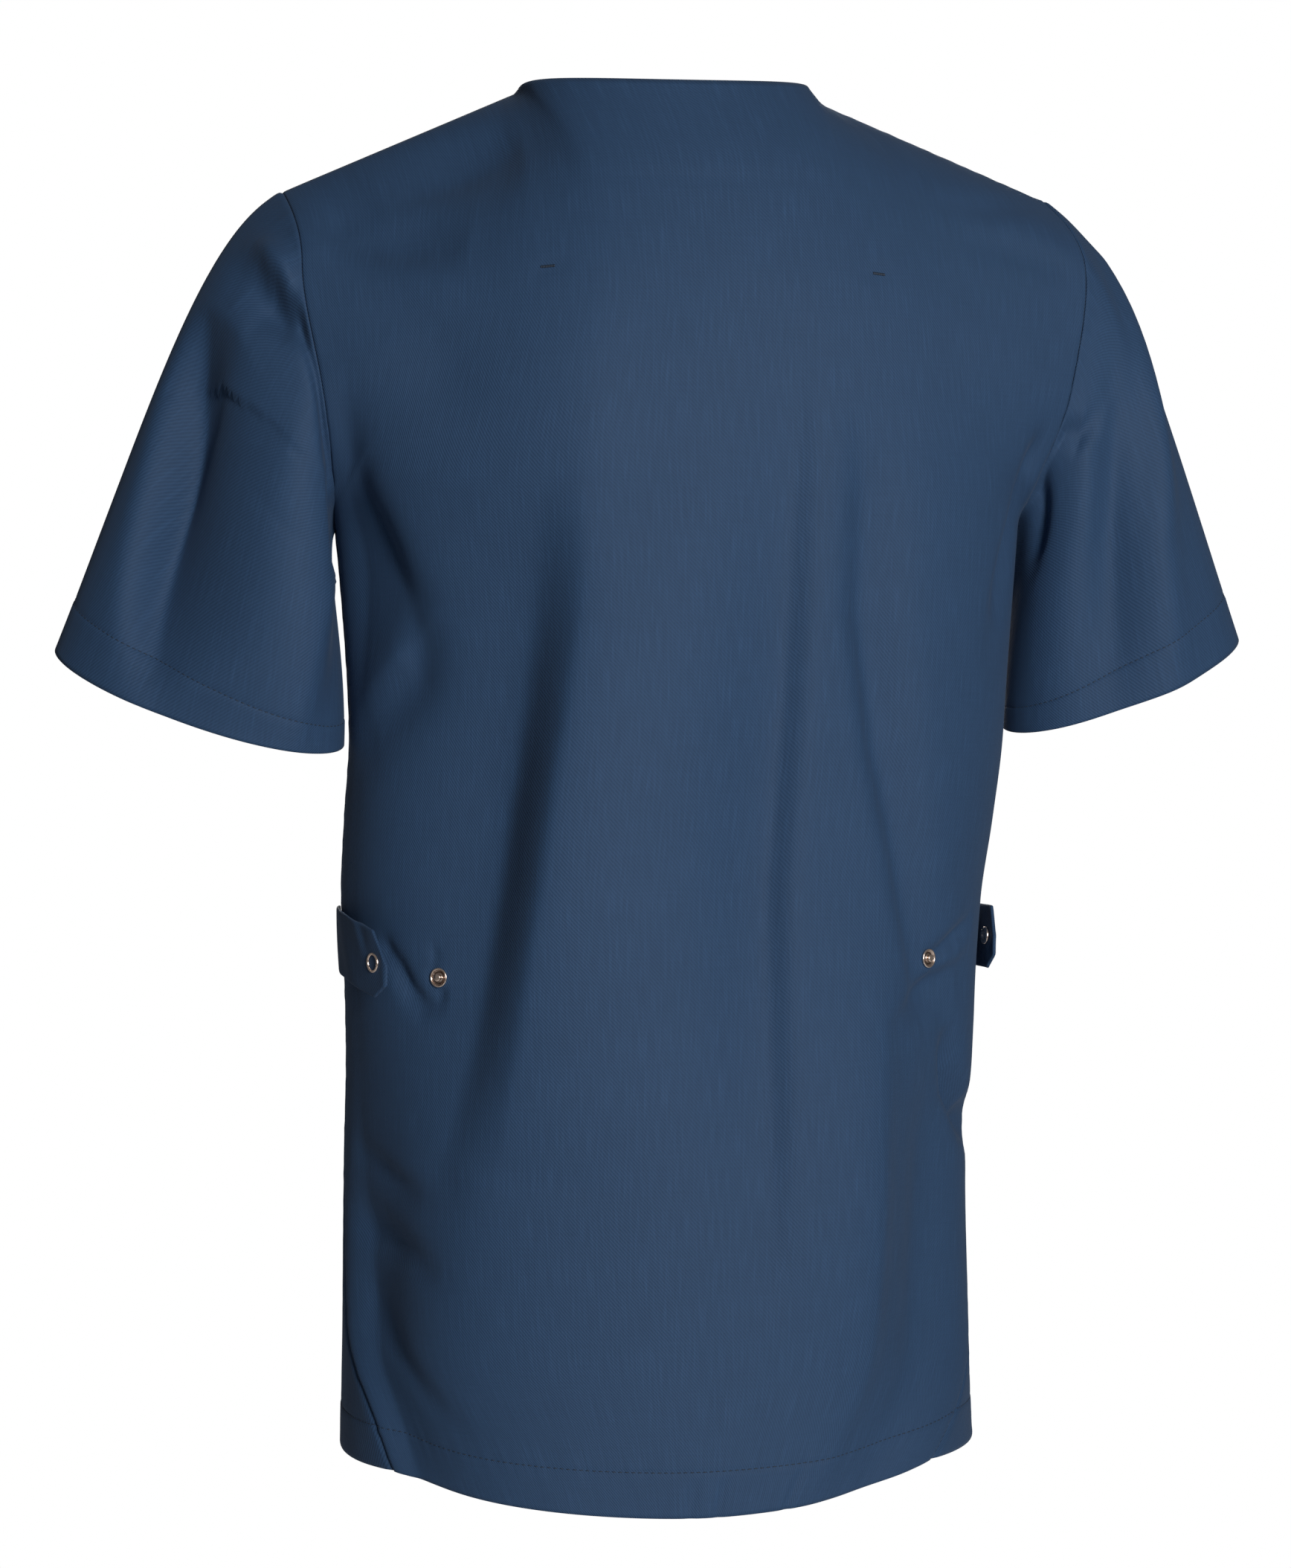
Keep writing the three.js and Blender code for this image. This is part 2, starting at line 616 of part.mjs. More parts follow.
// Moves one border of a grid away from its seam, square to the seam and in the cloth's own face
function pullBack(grid, normals, places, neighbour, closed = false) {
  const count = places.length;
  const moves = places.map(([row, index], order) => {
    const [beforeRow, beforeIndex] = places[closed ? (order - 1 + count) % count : Math.max(order - 1, 0)];
    const [afterRow, afterIndex] = places[closed ? (order + 1) % count : Math.min(order + 1, count - 1)];
    const seam = new THREE.Vector3().subVectors(grid[afterRow][afterIndex], grid[beforeRow][beforeIndex]);
    const [innerRow, innerIndex] = neighbour(row, index);
    const inward = new THREE.Vector3().subVectors(grid[innerRow][innerIndex], grid[row][index]);
    const square = new THREE.Vector3().crossVectors(normals[row][index], seam).normalize();
    return square.multiplyScalar(Math.sign(square.dot(inward)) * seamGap / 2);
  });
  places.forEach(([row, index], order) => grid[row][index].add(moves[order]));
}

const range = (from, to) => Array.from({ length: to - from + 1 }, (unused, step) => from + step);

const backGrid = panelGrid('back');
const frontGrid = panelGrid('front');
const lastColumn = columnPlaces.length - 1;
const lastRow = stations.length - 1;
const underarmRow = tubeSteps;

// Edge columns of the two panels on each side: the back's columns run from the wearer's left, the
// front's to it
const edges = {
  left: { back: 0, front: lastColumn },
  right: { back: lastColumn, front: 0 },
};

function armholeLoop(side) {
  const up = range(underarmRow, lastRow).map((row) => ({ panel: 'back', row, index: edges[side].back }));
  const down = range(underarmRow + 1, lastRow - 1).reverse()
    .map((row) => ({ panel: 'front', row, index: edges[side].front }));
  return [...up, ...down];
}

const panelGrids = { back: backGrid, front: frontGrid };
const panelNormals = { back: gridNormals(backGrid, false), front: gridNormals(frontGrid, false) };

const sleeveParts = {};
for (const side of ['left', 'right']) {
  const loop = armholeLoop(side);
  const points = loop.map(({ panel, row, index }) => panelGrids[panel][row][index].clone());
  const grid = sleeveGrid(points, sleeves[side], sleeveFolds[side]);
  if (side === 'right') grid.reverse();
  const normals = gridNormals(grid, true);
  sleeveParts[side] = { loop, grid, normals, armholeRow: side === 'right' ? sleeveRows : 0 };
}

// Pieces that meet at a seam share one direction there, so that their edges are cut parallel
function shareNormals(places) {
  const sum = new THREE.Vector3();
  for (const [normals, row, index] of places) sum.add(normals[row][index]);
  sum.normalize();
  for (const [normals, row, index] of places) normals[row][index].copy(sum);
}
for (const side of ['left', 'right']) {
  const { loop, normals, armholeRow } = sleeveParts[side];
  const { back, front } = edges[side];
  for (const row of range(0, underarmRow - 1)) {
    shareNormals([[panelNormals.back, row, back], [panelNormals.front, row, front]]);
  }
  loop.forEach(({ panel, row, index }, order) => {
    const shared = [[panelNormals[panel], row, index], [normals, armholeRow, order]];
    if (row === underarmRow || row === lastRow) shared.push([panelNormals.front, row, front]);
    shareNormals(shared);
  });
  for (const step of range(1, halfShoulderColumns)) {
    const backIndex = back === 0 ? step : back - step;
    const frontIndex = front === 0 ? step : front - step;
    shareNormals([[panelNormals.back, lastRow, backIndex], [panelNormals.front, lastRow, frontIndex]]);
  }
}

for (const panel of ['back', 'front']) {
  const grid = panelGrids[panel];
  const normals = panelNormals[panel];
  const rows = range(0, lastRow);
  pullBack(grid, normals, rows.map((row) => [row, 0]), (row) => [row, 1]);
  pullBack(grid, normals, rows.map((row) => [row, lastColumn]), (row) => [row, lastColumn - 1]);
  const shoulder = range(0, halfShoulderColumns);
  const below = (row, index) => [row - 1, index];
  pullBack(grid, normals, shoulder.map((index) => [lastRow, index]), below);
  pullBack(grid, normals, shoulder.map((index) => [lastRow, lastColumn - index]), below);
}
// Three pieces meet at the underarm, so the panels' corners there are also cut lower
for (const grid of Object.values(panelGrids)) {
  grid[underarmRow][0].z -= 3 * seamGap;
  grid[underarmRow][lastColumn].z -= 3 * seamGap;
}
for (const { grid, normals, armholeRow } of Object.values(sleeveParts)) {
  const inside = armholeRow === 0 ? 1 : armholeRow - 1;
  const places = range(0, grid[0].length - 1).map((index) => [armholeRow, index]);
  pullBack(grid, normals, places, (row, index) => [inside, index], true);
}

const clothMaterial = () => new THREE.MeshStandardMaterial({
  color: navy, roughness: 0.78, metalness: 0, side: THREE.DoubleSide,
});
const metalMaterial = () => new THREE.MeshStandardMaterial({ color: nickel, roughness: 0.3, metalness: 1 });

const top = new THREE.Group();

function addMesh(name, geometry, material) {
  const mesh = new THREE.Mesh(geometry, material);
  mesh.name = name;
  top.add(mesh);
  return mesh;
}

addMesh('back', wallGeometry(backGrid, panelNormals.back, clothWall, false), clothMaterial());
addMesh('front', wallGeometry(frontGrid, panelNormals.front, clothWall, false), clothMaterial());
for (const side of ['left', 'right']) {
  const { grid, normals } = sleeveParts[side];
  addMesh(`sleeve_${side}`, wallGeometry(grid, normals, clothWall, true), clothMaterial());
}

// A point on the body's outer face, by angle from the centre back and height, moved out by stand
function stationAt(height) {
  let low = hemStation;
  let high = underarmStation;
  for (let step = 0; step < 30; step += 1) {
    const middle = (low + high) / 2;
    if (column(bodyRows, 'edge', middle) < height) low = middle;
    else high = middle;
  }
  return (low + high) / 2;
}
function bodyPoint(angle, height) {
  const station = stationAt(height);
  const at = (name) => column(bodyRows, name, station);
  const turn = degrees(angle);
  const facing = Math.cos(turn);
  const depth = facing > 0 ? at('backDepth') : at('frontDepth');
  return new THREE.Vector3(
    at('sway') + at('half') * Math.sin(turn),
    Math.sign(facing) * depth * Math.abs(facing) ** at('full'),
    height,
  );
}
function bodyNormal(angle, height) {
  const step = 1;
  const across = bodyPoint(angle + step, height).sub(bodyPoint(angle - step, height));
  const up = bodyPoint(angle, height + step).sub(bodyPoint(angle, height - step));
  return up.cross(across).normalize();
}

// A tab's outer face: along runs from the seam (0) to the free end (1), rise from its lower edge (0) to
// its upper one (1)
function tabPoint(form, along, rise) {
  const angle = form.side * column(form.rows, 'angle', along);
  const height = form.rootHeight - column(form.rows, 'drop', along) + tabWidth * (rise - 0.5);
  const stand = column(form.rows, 'stand', along);
  return bodyPoint(angle, height).addScaledVector(bodyNormal(angle, height), stand + tabWall);
}
function tabLength(form) {
  let sum = 0;
  for (let step = 1; step <= tabRows; step += 1) {
    sum += tabPoint(form, step / tabRows, 0.5).distanceTo(tabPoint(form, (step - 1) / tabRows, 0.5));
  }
  return sum;
}
// Where a line across the tab ends: its two corners are cut off
function tabEnd(rise, length) {
  const fromBottom = rise * tabWidth;
  const fromTop = (1 - rise) * tabWidth;
  const cutBottom = Math.max(0, 1 - fromBottom / tabChamferBottom);
  const cutTop = Math.max(0, 1 - fromTop / tabChamferTop);
  return 1 - Math.max(cutBottom, cutTop) * tabChamferLength / length;
}
function tabFaceNormal(form, along, rise) {
  const step = 0.01;
  const ahead = tabPoint(form, Math.min(along + step, 1), rise);
  const run = ahead.sub(tabPoint(form, Math.max(along - step, 0), rise));
  const up = new THREE.Vector3(0, 0, 1);
  return form.side > 0 ? run.cross(up).normalize() : up.cross(run).normalize();
}

const tabGrids = {};
for (const side of ['left', 'right']) {
  const form = tabs[side];
  const length = tabLength(form);
  const rises = [0, tabChamferBottom / tabWidth, 0.4, 1 - tabChamferTop / tabWidth, 0.8, 1];
  const grid = rises.map((rise) => range(0, tabRows).map((row) => (
    tabPoint(form, tabEnd(rise, length) * row / tabRows, rise)
  )));
  const normals = rises.map((rise) => range(0, tabRows).map((row) => (
    tabFaceNormal(form, tabEnd(rise, length) * row / tabRows, rise)
  )));
  if (form.side < 0) {
    grid.forEach((line) => line.reverse());
    normals.forEach((line) => line.reverse());
  }
  tabGrids[side] = { grid, normals };
  addMesh(`tab_${side}`, wallGeometry(grid, normals, tabWall, false), clothMaterial());
}

// Snap pieces, turned about Z with their seat at zero
function ringGeometry() {
  const rim = ringHeight / 2;
  const crown = (ringOuterRadius + ringInnerRadius) / 2;
  const profile = [
    new THREE.Vector2(ringInnerRadius, 0),
    new THREE.Vector2(ringOuterRadius, 0),
    new THREE.Vector2(ringOuterRadius, rim),
    new THREE.Vector2(crown, ringHeight),
    new THREE.Vector2(ringInnerRadius, rim),
    new THREE.Vector2(ringInnerRadius, 0),
  ];
  return new THREE.LatheGeometry(profile, roundSides);
}
function socketGeometry() {
  const floor = socketHeight - socketMouthDepth;
  const profile = [
    new THREE.Vector2(0, 0),
    new THREE.Vector2(socketRadius, 0),
    new THREE.Vector2(socketRadius, socketHeight * 0.5),
    new THREE.Vector2(socketRadius * 0.72, socketHeight),
    new THREE.Vector2(socketMouthRadius, socketHeight),
    new THREE.Vector2(socketMouthRadius, floor),
    new THREE.Vector2(0, floor),
  ];
  return new THREE.LatheGeometry(profile, roundSides);
}
function studGeometry() {
  const neckTop = studHeight * 0.5;
  const profile = [
    new THREE.Vector2(0, 0),
    new THREE.Vector2(studFlangeRadius, 0),
    new THREE.Vector2(studFlangeRadius, studFlangeHeight),
    new THREE.Vector2(studPostRadius, studFlangeHeight),
    new THREE.Vector2(studPostRadius, neckTop),
    new THREE.Vector2(studHeadRadius, studHeight * 0.75),
    new THREE.Vector2(studPostRadius, studHeight),
    new THREE.Vector2(0, studHeight),
  ];
  return new THREE.LatheGeometry(profile, roundSides);
}
// Places spread evenly over every face of a wall's outer grid, or of its inner one where wall is given
function facePlaces(grid, normals, wall = 0) {
  const places = [];
  const corner = (row, index) => grid[row][index].clone().addScaledVector(normals[row][index], -wall);
  const steps = 8;
  for (let row = 0; row < grid.length - 1; row += 1) {
    for (let index = 0; index < grid[0].length - 1; index += 1) {
      const a = corner(row, index);
      const b = corner(row, index + 1);
      const c = corner(row + 1, index + 1);
      const d = corner(row + 1, index);
      for (let step = 0; step < steps * steps; step += 1) {
        const across = (step % steps) / steps;
        const up = Math.floor(step / steps) / steps;
        places.push(a.clone().lerp(b, across).lerp(d.clone().lerp(c, across), up));
      }
    }
  }
  return places;
}

// Lathes turn about Y, so a snap piece is stood on the cloth by turning Y onto the cloth's direction. It
// is lifted clear of the highest place of the cloth under it.
function placeSnap(name, geometry, seat, direction, cloth) {
  const mesh = addMesh(name, geometry, metalMaterial());
  let lift = 0;
  for (const place of cloth) {
    const offset = place.clone().sub(seat);
    const rise = offset.dot(direction);
    const away = Math.sqrt(Math.max(0, offset.lengthSq() - rise * rise));
    if (away < ringOuterRadius && Math.abs(rise) < ringOuterRadius) lift = Math.max(lift, rise);
  }
  mesh.position.copy(seat).addScaledVector(direction, lift + snapSeat);
  mesh.quaternion.setFromUnitVectors(new THREE.Vector3(0, 1, 0), direction);
}

const backOutside = facePlaces(backGrid, panelNormals.back);
const backInside = facePlaces(backGrid, panelNormals.back, clothWall);
const nearest = (places, target) => places.reduce((best, place) => (
  place.distanceToSquared(target) < best.distanceToSquared(target) ? place : best
));

for (const side of ['left', 'right']) {
  const form = tabs[side];
  const along = 1 - tabSnapInset / tabLength(form);
  const face = tabPoint(form, along, 0.5);
  const direction = tabFaceNormal(form, along, 0.5);
  const inner = face.clone().addScaledVector(direction, -tabWall);
  const { grid, normals } = tabGrids[side];
  const outside = facePlaces(grid, normals);
  const underside = facePlaces(grid, normals, tabWall);
  placeSnap(`ring_cap_${side}`, ringGeometry(), face, direction, outside);
  placeSnap(`socket_${side}`, socketGeometry(), inner, direction.clone().negate(), underside);

  const stud = studs[side];
  const angle = stud.side * stud.angle;
  const outward = bodyNormal(angle, stud.height);
  const seat = nearest(backOutside, bodyPoint(angle, stud.height));
  placeSnap(`stud_${side}`, studGeometry(), seat, outward, backOutside);
  const inside = nearest(backInside, seat.clone().addScaledVector(outward, -clothWall));
  placeSnap(`stud_ring_${side}`, ringGeometry(), inside, outward.clone().negate(), backInside);
}

export default top;
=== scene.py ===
import math
import bmesh
import bpy
import numpy as np
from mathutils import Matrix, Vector


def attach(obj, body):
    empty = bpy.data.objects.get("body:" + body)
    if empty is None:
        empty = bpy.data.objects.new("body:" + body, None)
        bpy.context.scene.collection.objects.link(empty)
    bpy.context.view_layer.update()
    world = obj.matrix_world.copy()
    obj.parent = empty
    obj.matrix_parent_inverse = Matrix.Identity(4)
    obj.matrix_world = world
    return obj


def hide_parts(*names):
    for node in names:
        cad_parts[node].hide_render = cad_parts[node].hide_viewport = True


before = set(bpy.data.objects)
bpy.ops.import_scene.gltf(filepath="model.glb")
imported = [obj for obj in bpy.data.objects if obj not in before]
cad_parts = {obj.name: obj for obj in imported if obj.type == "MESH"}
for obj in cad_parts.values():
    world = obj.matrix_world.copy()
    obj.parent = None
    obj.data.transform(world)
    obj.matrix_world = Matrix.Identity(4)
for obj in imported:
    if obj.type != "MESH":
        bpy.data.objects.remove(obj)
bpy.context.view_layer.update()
mm = 0.001

# The garment's sizes, as in the CAD part
garment = dict(
    neckHalfWidth=78, backNeckDepth=65, backNeckDrop=9, frontNeckDrop=165, frontNeckDepth=104,
    shoulderHalfWidth=207.5, shoulderDrop=56, shoulderForward=5, shoulderSway=-4, shoulderLean=4.7,
    neckColumn=0.38, shoulderRounding=110, neckBlend=0.22, backNeckSquareness=0.7, backNeckFall=1.4,
    frontNeckBulge=2.2, hemBow=1.7, halfGirth=240, sleeveGirth=400, sleeveLength=200, cuffForward=0.12,
    underarm=9, shoulder=13,
)
studs = dict(
    left=dict(side=1, angle=51, height=-467, across=136),
    right=dict(side=-1, angle=50, height=-462, across=-132),
)
tabColumns = "at angle stand drop".split()
tabs = dict(
    left=dict(side=1, rootHeight=-453, rows=[
        (0, 97, 0.5, 0), (0.35, 84, 1.2, 1), (0.7, 71, 3.8, 5), (1, 59, 7.5, 11),
    ]),
    right=dict(side=-1, rootHeight=-453, rows=[
        (0, 101, 0.5, 0), (0.35, 94, 3, 0), (0.7, 87, 6, 0), (1, 82, 8.5, 1),
    ]),
)
tab = dict(width=34, wall=2.0, rim=0.8, chamferLength=12, chamferTop=15, chamferBottom=9, snapInset=13)
# Creases of a tab: path as (distance from the seam, distance from the lower edge)
tabFolds = dict(
    left=[
        dict(fold="crease over the snap", path=[(77, 34), (84, 23)], near=7, far=3, depth=1.2, start=0.8,
             end=0.6),
        dict(fold="turn of the free end", path=[(103, 30), (101, 18), (103, 5)], near=3, far=3, depth=-0.6,
             start=0.7, end=0.7),
        dict(fold="dip round the snap", path=[(92, 17), (93, 16)], near=9, far=9, depth=0.8, start=1,
             end=1),
    ],
    right=[
        dict(fold="dip round the snap", path=[(47, 17), (48, 16)], near=9, far=9, depth=0.8, start=1,
             end=1),
    ],
)
cloth = dict(thickness=0.9, hemThickness=1.7, hemStation=0.31, hemRaise=0.3, stitchDip=0.35,
             stitchLength=2.3, stitchPitch=3.2, stitchRadius=0.24,
             cuffHem=19.5, hemStationHeight=68, topStationHeight=40)
bodyColumns = (
    "at edge half sway lean round full swingLeft swingRight backMid backDepth backEdge "
    "frontHalf frontMid frontDepth frontEdge").split()
bodyRows = [
    (0, -716, 169, 2.5, 0, 1, 0.9, 30, 41, -729.5, 134, 0, 169, -723, 127, 0),
    (0.4, -690, 168.3, 2.7, 0, 1, 0.88, 22, 27, -701, 132.5, 0, 168.3, -696, 126, 0),
    (1, -650, 167.5, 3, 0, 1, 0.85, 6, 8, -657, 130, 0, 167.5, -653, 125, 0),
    (2, -571, 167, 2.5, 0, 1, 0.8, 0, 0, -576, 126, 0, 167, -573, 123, 0),
    (3, -515, 168, 0.5, 0, 1, 0.8, 0, 0, -518, 122, 0, 168, -517, 121, 0),
    (4, -469, 169.5, 0, 0, 1, 0.8, 0, 0, -470, 119, 0, 169.5, -471, 120, 0),
    (5, -433, 171.5, -0.5, 0, 1, 0.8, 0, 0, -432, 117, 0, 171.5, -436, 119, 0),
    (6, -389, 174, -4.5, 0, 1, 0.8, 0, 0, -386, 115.5, 0, 174, -393, 119, 0),
    (7, -341, 175.8, -8.8, 0, 1, 0.8, 0, 0, -334, 114.5, 0, 175.8, -346, 119, 0),
    (8, -285, 179.5, -9.5, 0, 1, 0.8, 0, 0, -273, 114, 0, 179.5, -294, 119, 0),
    (9, -236, 184, -9.5, 0, 1, 0.8, 0, 0, -218, 113.5, 0, 184, -250, 118.5, 0),
    (10, -213, 188, -10.5, 0.8, 0.8, 0.87, 0, 0, -172, 111, 32, 184, -233, 117, 30),
    (11, -167, 199, -14, 2, 0.5, 0.97, 0, 0, -119, 104.5, 54, 186, -212, 114.5, 46),
    (12, -110, 209, -14.5, 3.7, 0.35, 1.03, 0, 0, -62, 90, 46, 198, -189, 110.5, 36),
    (13, -56, 207.5, -4, 4.7, 0.25, 1.06, 0, 0, -9, 65, 5, 207.5, -165, 104, -5),
]

# Folds of the panels: path runs along the cloth as (across, height). Of a fold that runs down, near is the
# half width on the wearer's left side and far the one on the right side. A negative depth is a ridge. crest
# above 0 makes the near side's slope break at the fold's middle line.
backFolds = [
    dict(fold="left shoulder blade turn", path=[(62, -85), (61, -140), (58, -210), (60, -290)], near=46,
         far=26, depth=-5.5, start=0.15, end=0.1),
    dict(fold="left long step", path=[(56, -215), (57, -277), (66, -351), (70, -424), (82, -498),
         (94, -562)], near=15, far=60, depth=-16, start=0.04, end=0.06, crest=0.5),
    dict(fold="left long hollow", path=[(78, -225), (83, -277), (93, -351), (99, -425), (114, -499),
         (130, -556)], near=84, far=16, depth=14, start=0.08, end=0.25),
    dict(fold="centre right hollow", path=[(-36, -150), (-32, -239), (-29, -351), (-32, -499), (-34, -610)],
         near=28, far=8.5, depth=9, start=0.15, end=0.2),
    dict(fold="right fold", path=[(-67, -196), (-69, -286), (-81, -351), (-104, -416), (-119, -466)],
         near=8, far=19, depth=10, start=0.15, end=0.5),
    dict(fold="right lower corner", path=[(-90, -480), (-88, -600), (-92, -700)], near=44, far=14, depth=-9,
         start=0.3, end=0.3),
    dict(fold="right lower hollow", path=[(-146, -495), (-148, -590), (-152, -700)], near=34, far=44,
         depth=17, start=0.3, end=0.35),
    dict(fold="left lower hollow", path=[(192, -560), (198, -620), (214, -690)], near=46, far=46, depth=12,
         start=0.4, end=0.6),
    dict(fold="left underarm pocket", path=[(208, -213), (186, -246), (157, -296)], near=60, far=20,
         depth=14, start=0.3, end=0.2),
    dict(fold="left underarm drag", path=[(150, -285), (160, -318), (198, -342)], near=14, far=18, depth=6,
         start=0.25, end=0.4),
    dict(fold="left shoulder drag", path=[(228, -80), (190, -93), (130, -98)], near=14, far=22, depth=8,
         start=0.7, end=0.1),
    dict(fold="left neck hollow", path=[(190, -46), (150, -40), (100, -33)], near=40, far=17, depth=15,
         start=0.6, end=0.4),
    dict(fold="left shoulder blade dip", path=[(200, -120), (150, -150), (110, -185)], near=22, far=18,
         depth=2.5, start=0.3, end=0.2),
    dict(fold="right shoulder drag", path=[(-219, -57), (-172, -66), (-128, -67)], near=7, far=7, depth=1.8,
         start=0.7, end=0.1),
    dict(fold="right shoulder drag, lower", path=[(-214, -96), (-175, -90), (-140, -88)], near=8, far=8,
         depth=1.4, start=0.7, end=0.1),
    dict(fold="right underarm pocket", path=[(-215, -200), (-195, -225), (-164, -290)], near=12, far=16,
         depth=8, start=0.8, end=0.2),
    dict(fold="left seat drag, upper", path=[(214, -560), (172, -572), (144, -579)], near=9, far=8, depth=4,
         start=0.5, end=0.2),
    dict(fold="left seat drag, lower", path=[(221, -600), (161, -608), (131, -617)], near=8, far=11,
         depth=5, start=0.6, end=0.15),
    dict(fold="left low drag", path=[(210, -640), (180, -660), (150, -684)], near=12, far=12, depth=3.5,
         start=0.4, end=0.3),
    dict(fold="tab to stud trough", path=[(177, -456), (167, -465), (158, -476), (148, -482), (139, -482)],
         near=6, far=6, depth=5, start=0.7, end=0.4),
    dict(fold="pucker under the left stud", path=[(140, -470), (136, -474), (132, -480)], near=3, far=3.5,
         depth=2.6, start=1, end=0.2),
    dict(fold="pucker over the left stud", path=[(137, -461), (140, -452)], near=3, far=3, depth=1.2,
         start=1, end=0.2),
    dict(fold="crease to the right stud", path=[(-172, -444), (-153, -452), (-139, -459)], near=5, far=6,
         depth=5, start=0.4, end=0.9),
    dict(fold="hollow under the right stud", path=[(-166, -468), (-138, -474), (-122, -481), (-110, -489)],
         near=6, far=22, depth=8, start=0.4, end=0.3),
    dict(fold="right side dent", path=[(-226, -553), (-204, -548), (-176, -526), (-158, -498)], near=10,
         far=10, depth=12, start=0.9, end=0.15),
    dict(fold="hem crease 1", path=[(2, -710), (7, -727)], near=3.5, far=3, depth=1.3, start=0.2, end=0.9),
    dict(fold="hem crease 2", path=[(-20, -710), (-14, -727)], near=3.5, far=3, depth=1.4, start=0.2,
         end=0.9),
    dict(fold="hem crease 3", path=[(-73, -708), (-72, -727)], near=4, far=3, depth=1.2, start=0.2,
         end=0.9),
    dict(fold="facing line", path=[(82, -64), (0, -65), (-57, -61)], near=2.5, far=2.5, depth=0.35,
         start=0.4, end=0.4),
    dict(fold="left tack pucker", path=[(92, -114), (74, -113)], near=3, far=3, depth=0.9, start=0.2,
         end=0.5),
    dict(fold="right tack pucker", path=[(-74, -112), (-92, -110)], near=3, far=3, depth=0.9, start=0.5,
         end=0.2),
]
frontFolds = [
    dict(fold="left long trough", path=[(78, -290), (86, -440), (98, -600)], near=19, far=16, depth=7,
         start=0.3, end=0.3),
    dict(fold="left ridge", path=[(52, -300), (66, -640)], near=22, far=22, depth=-4, start=0.4, end=0.4),
    dict(fold="centre soft trough", path=[(6, -330), (-12, -560)], near=22, far=20, depth=4, start=0.3,
         end=0.3),
    dict(fold="right long trough", path=[(-70, -270), (-82, -400), (-104, -520)], near=14, far=20, depth=7,
         start=0.3, end=0.3),
    dict(fold="left underarm drag", path=[(205, -232), (130, -280)], near=14, far=14, depth=6, start=0.5,
         end=0.5),
    dict(fold="right underarm drag", path=[(-208, -232), (-128, -290)], near=14, far=14, depth=6, start=0.5,
         end=0.5),
    dict(fold="left chest drag", path=[(170, -110), (84, -190)], near=13, far=13, depth=3, start=0.5,
         end=0.2),
    dict(fold="right chest drag", path=[(-168, -112), (-88, -186)], near=12, far=12, depth=3, start=0.5,
         end=0.2),
    dict(fold="right hem flute", path=[(-150, -620), (-156, -722)], near=18, far=18, depth=-5, start=0.4,
         end=1),
    dict(fold="left hem flute", path=[(120, -640), (124, -722)], near=16, far=18, depth=4, start=0.3,
         end=1),
]

sleeves = dict(
    left=dict(side=1, middle=(244.5, -3, -325.3), outer=80, deep=42, tilt=19, pitch=21, yaw=-11, hug=0),
    right=dict(side=-1, middle=(260, -10, -314), outer=70, deep=50, tilt=21, pitch=17, yaw=8, hug=0.3),
)
startColumns = "at out back up reach out2 up2 reach2 hug".split()
sleeveStarts = [
    (0, 0.75, 0.0, -0.66, 11, 0.03, -1.0, 40, 0),
    (0.12, 0.8, 0.1, -0.58, 17, 0.1, -0.99, 50, 0.3),
    (0.3, 0.8, 0.02, -0.6, 30, 0.27, -0.96, 82, 1),
    (0.4, 0.86, 0.02, -0.52, 35, 0.33, -0.95, 88, 1),
    (0.5, 0.95, 0.0, -0.32, 44, 0.37, -0.93, 88, 0),
    (0.6, 0.88, -0.02, -0.48, 36, 0.33, -0.95, 86, 0),
    (0.7, 0.85, -0.04, -0.52, 33, 0.3, -0.95, 84, 0),
    (0.88, 0.82, -0.13, -0.56, 17, 0.12, -0.99, 50, 0),
    (1, 0.75, 0.0, -0.66, 11, 0.03, -1.0, 40, 0),
]
# Folds of a sleeve: path as (share of the way round, share from armhole to cuff)
sleeveFolds = dict(
    left=[
        dict(fold="long back trough", path=[(0.445, 0.34), (0.43, 0.48), (0.4, 0.56), (0.37, 0.66),
             (0.33, 0.81), (0.285, 0.95)], near=40, far=10, depth=29, start=0, end=0.15, crest=0.5),
        dict(fold="back hump", path=[(0.21, 0.12), (0.15, 0.22), (0.1, 0.45), (0.12, 0.75), (0.14, 1.0)],
             near=16, far=44, depth=-12, start=0.4, end=0.25),
        dict(fold="underarm notch", path=[(0.1, 0.1), (0.09, 0.5)], near=8, far=7, depth=3, start=0.6,
             end=0.2),
        dict(fold="cap ridge", path=[(0.44, 0.17), (0.39, 0.12), (0.335, 0.05)], near=8, far=10, depth=-7,
             start=0.3, end=0.3),
        dict(fold="cap trough", path=[(0.42, 0.25), (0.37, 0.22), (0.32, 0.14), (0.285, 0.06)], near=13,
             far=9, depth=12, start=0.25, end=0.5),
        dict(fold="armhole groove", path=[(0.285, 0.04), (0.22, 0.03), (0.17, 0.04), (0.12, 0.04)], near=7,
             far=7, depth=5, start=0.7, end=0.4),
        dict(fold="front trough", path=[(0.74, 0.25), (0.72, 1.0)], near=17, far=17, depth=6, start=0.4,
             end=0.6),
    ],
    right=[
        dict(fold="back ridge", path=[(0.47, 0.25), (0.396, 0.46), (0.33, 0.7), (0.302, 1.0)], near=13,
             far=14, depth=-7, start=0.4, end=0.5),
        dict(fold="back trough", path=[(0.3, 0.32), (0.25, 0.6), (0.22, 1.0)], near=24, far=15, depth=10,
             start=0.2, end=0.4),
        dict(fold="short dark fold", path=[(0.17, 0.05), (0.2, 0.19), (0.25, 0.29)], near=6, far=7,
             depth=5.5, start=0.9, end=0.3),
        dict(fold="underarm pocket", path=[(0.1, 0.02), (0.08, 0.4)], near=9, far=9, depth=6, start=0.8,
             end=0.2),
        dict(fold="front trough", path=[(0.7, 0.25), (0.73, 1.0)], near=17, far=17, depth=6, start=0.4,
             end=0.6),
    ],
)


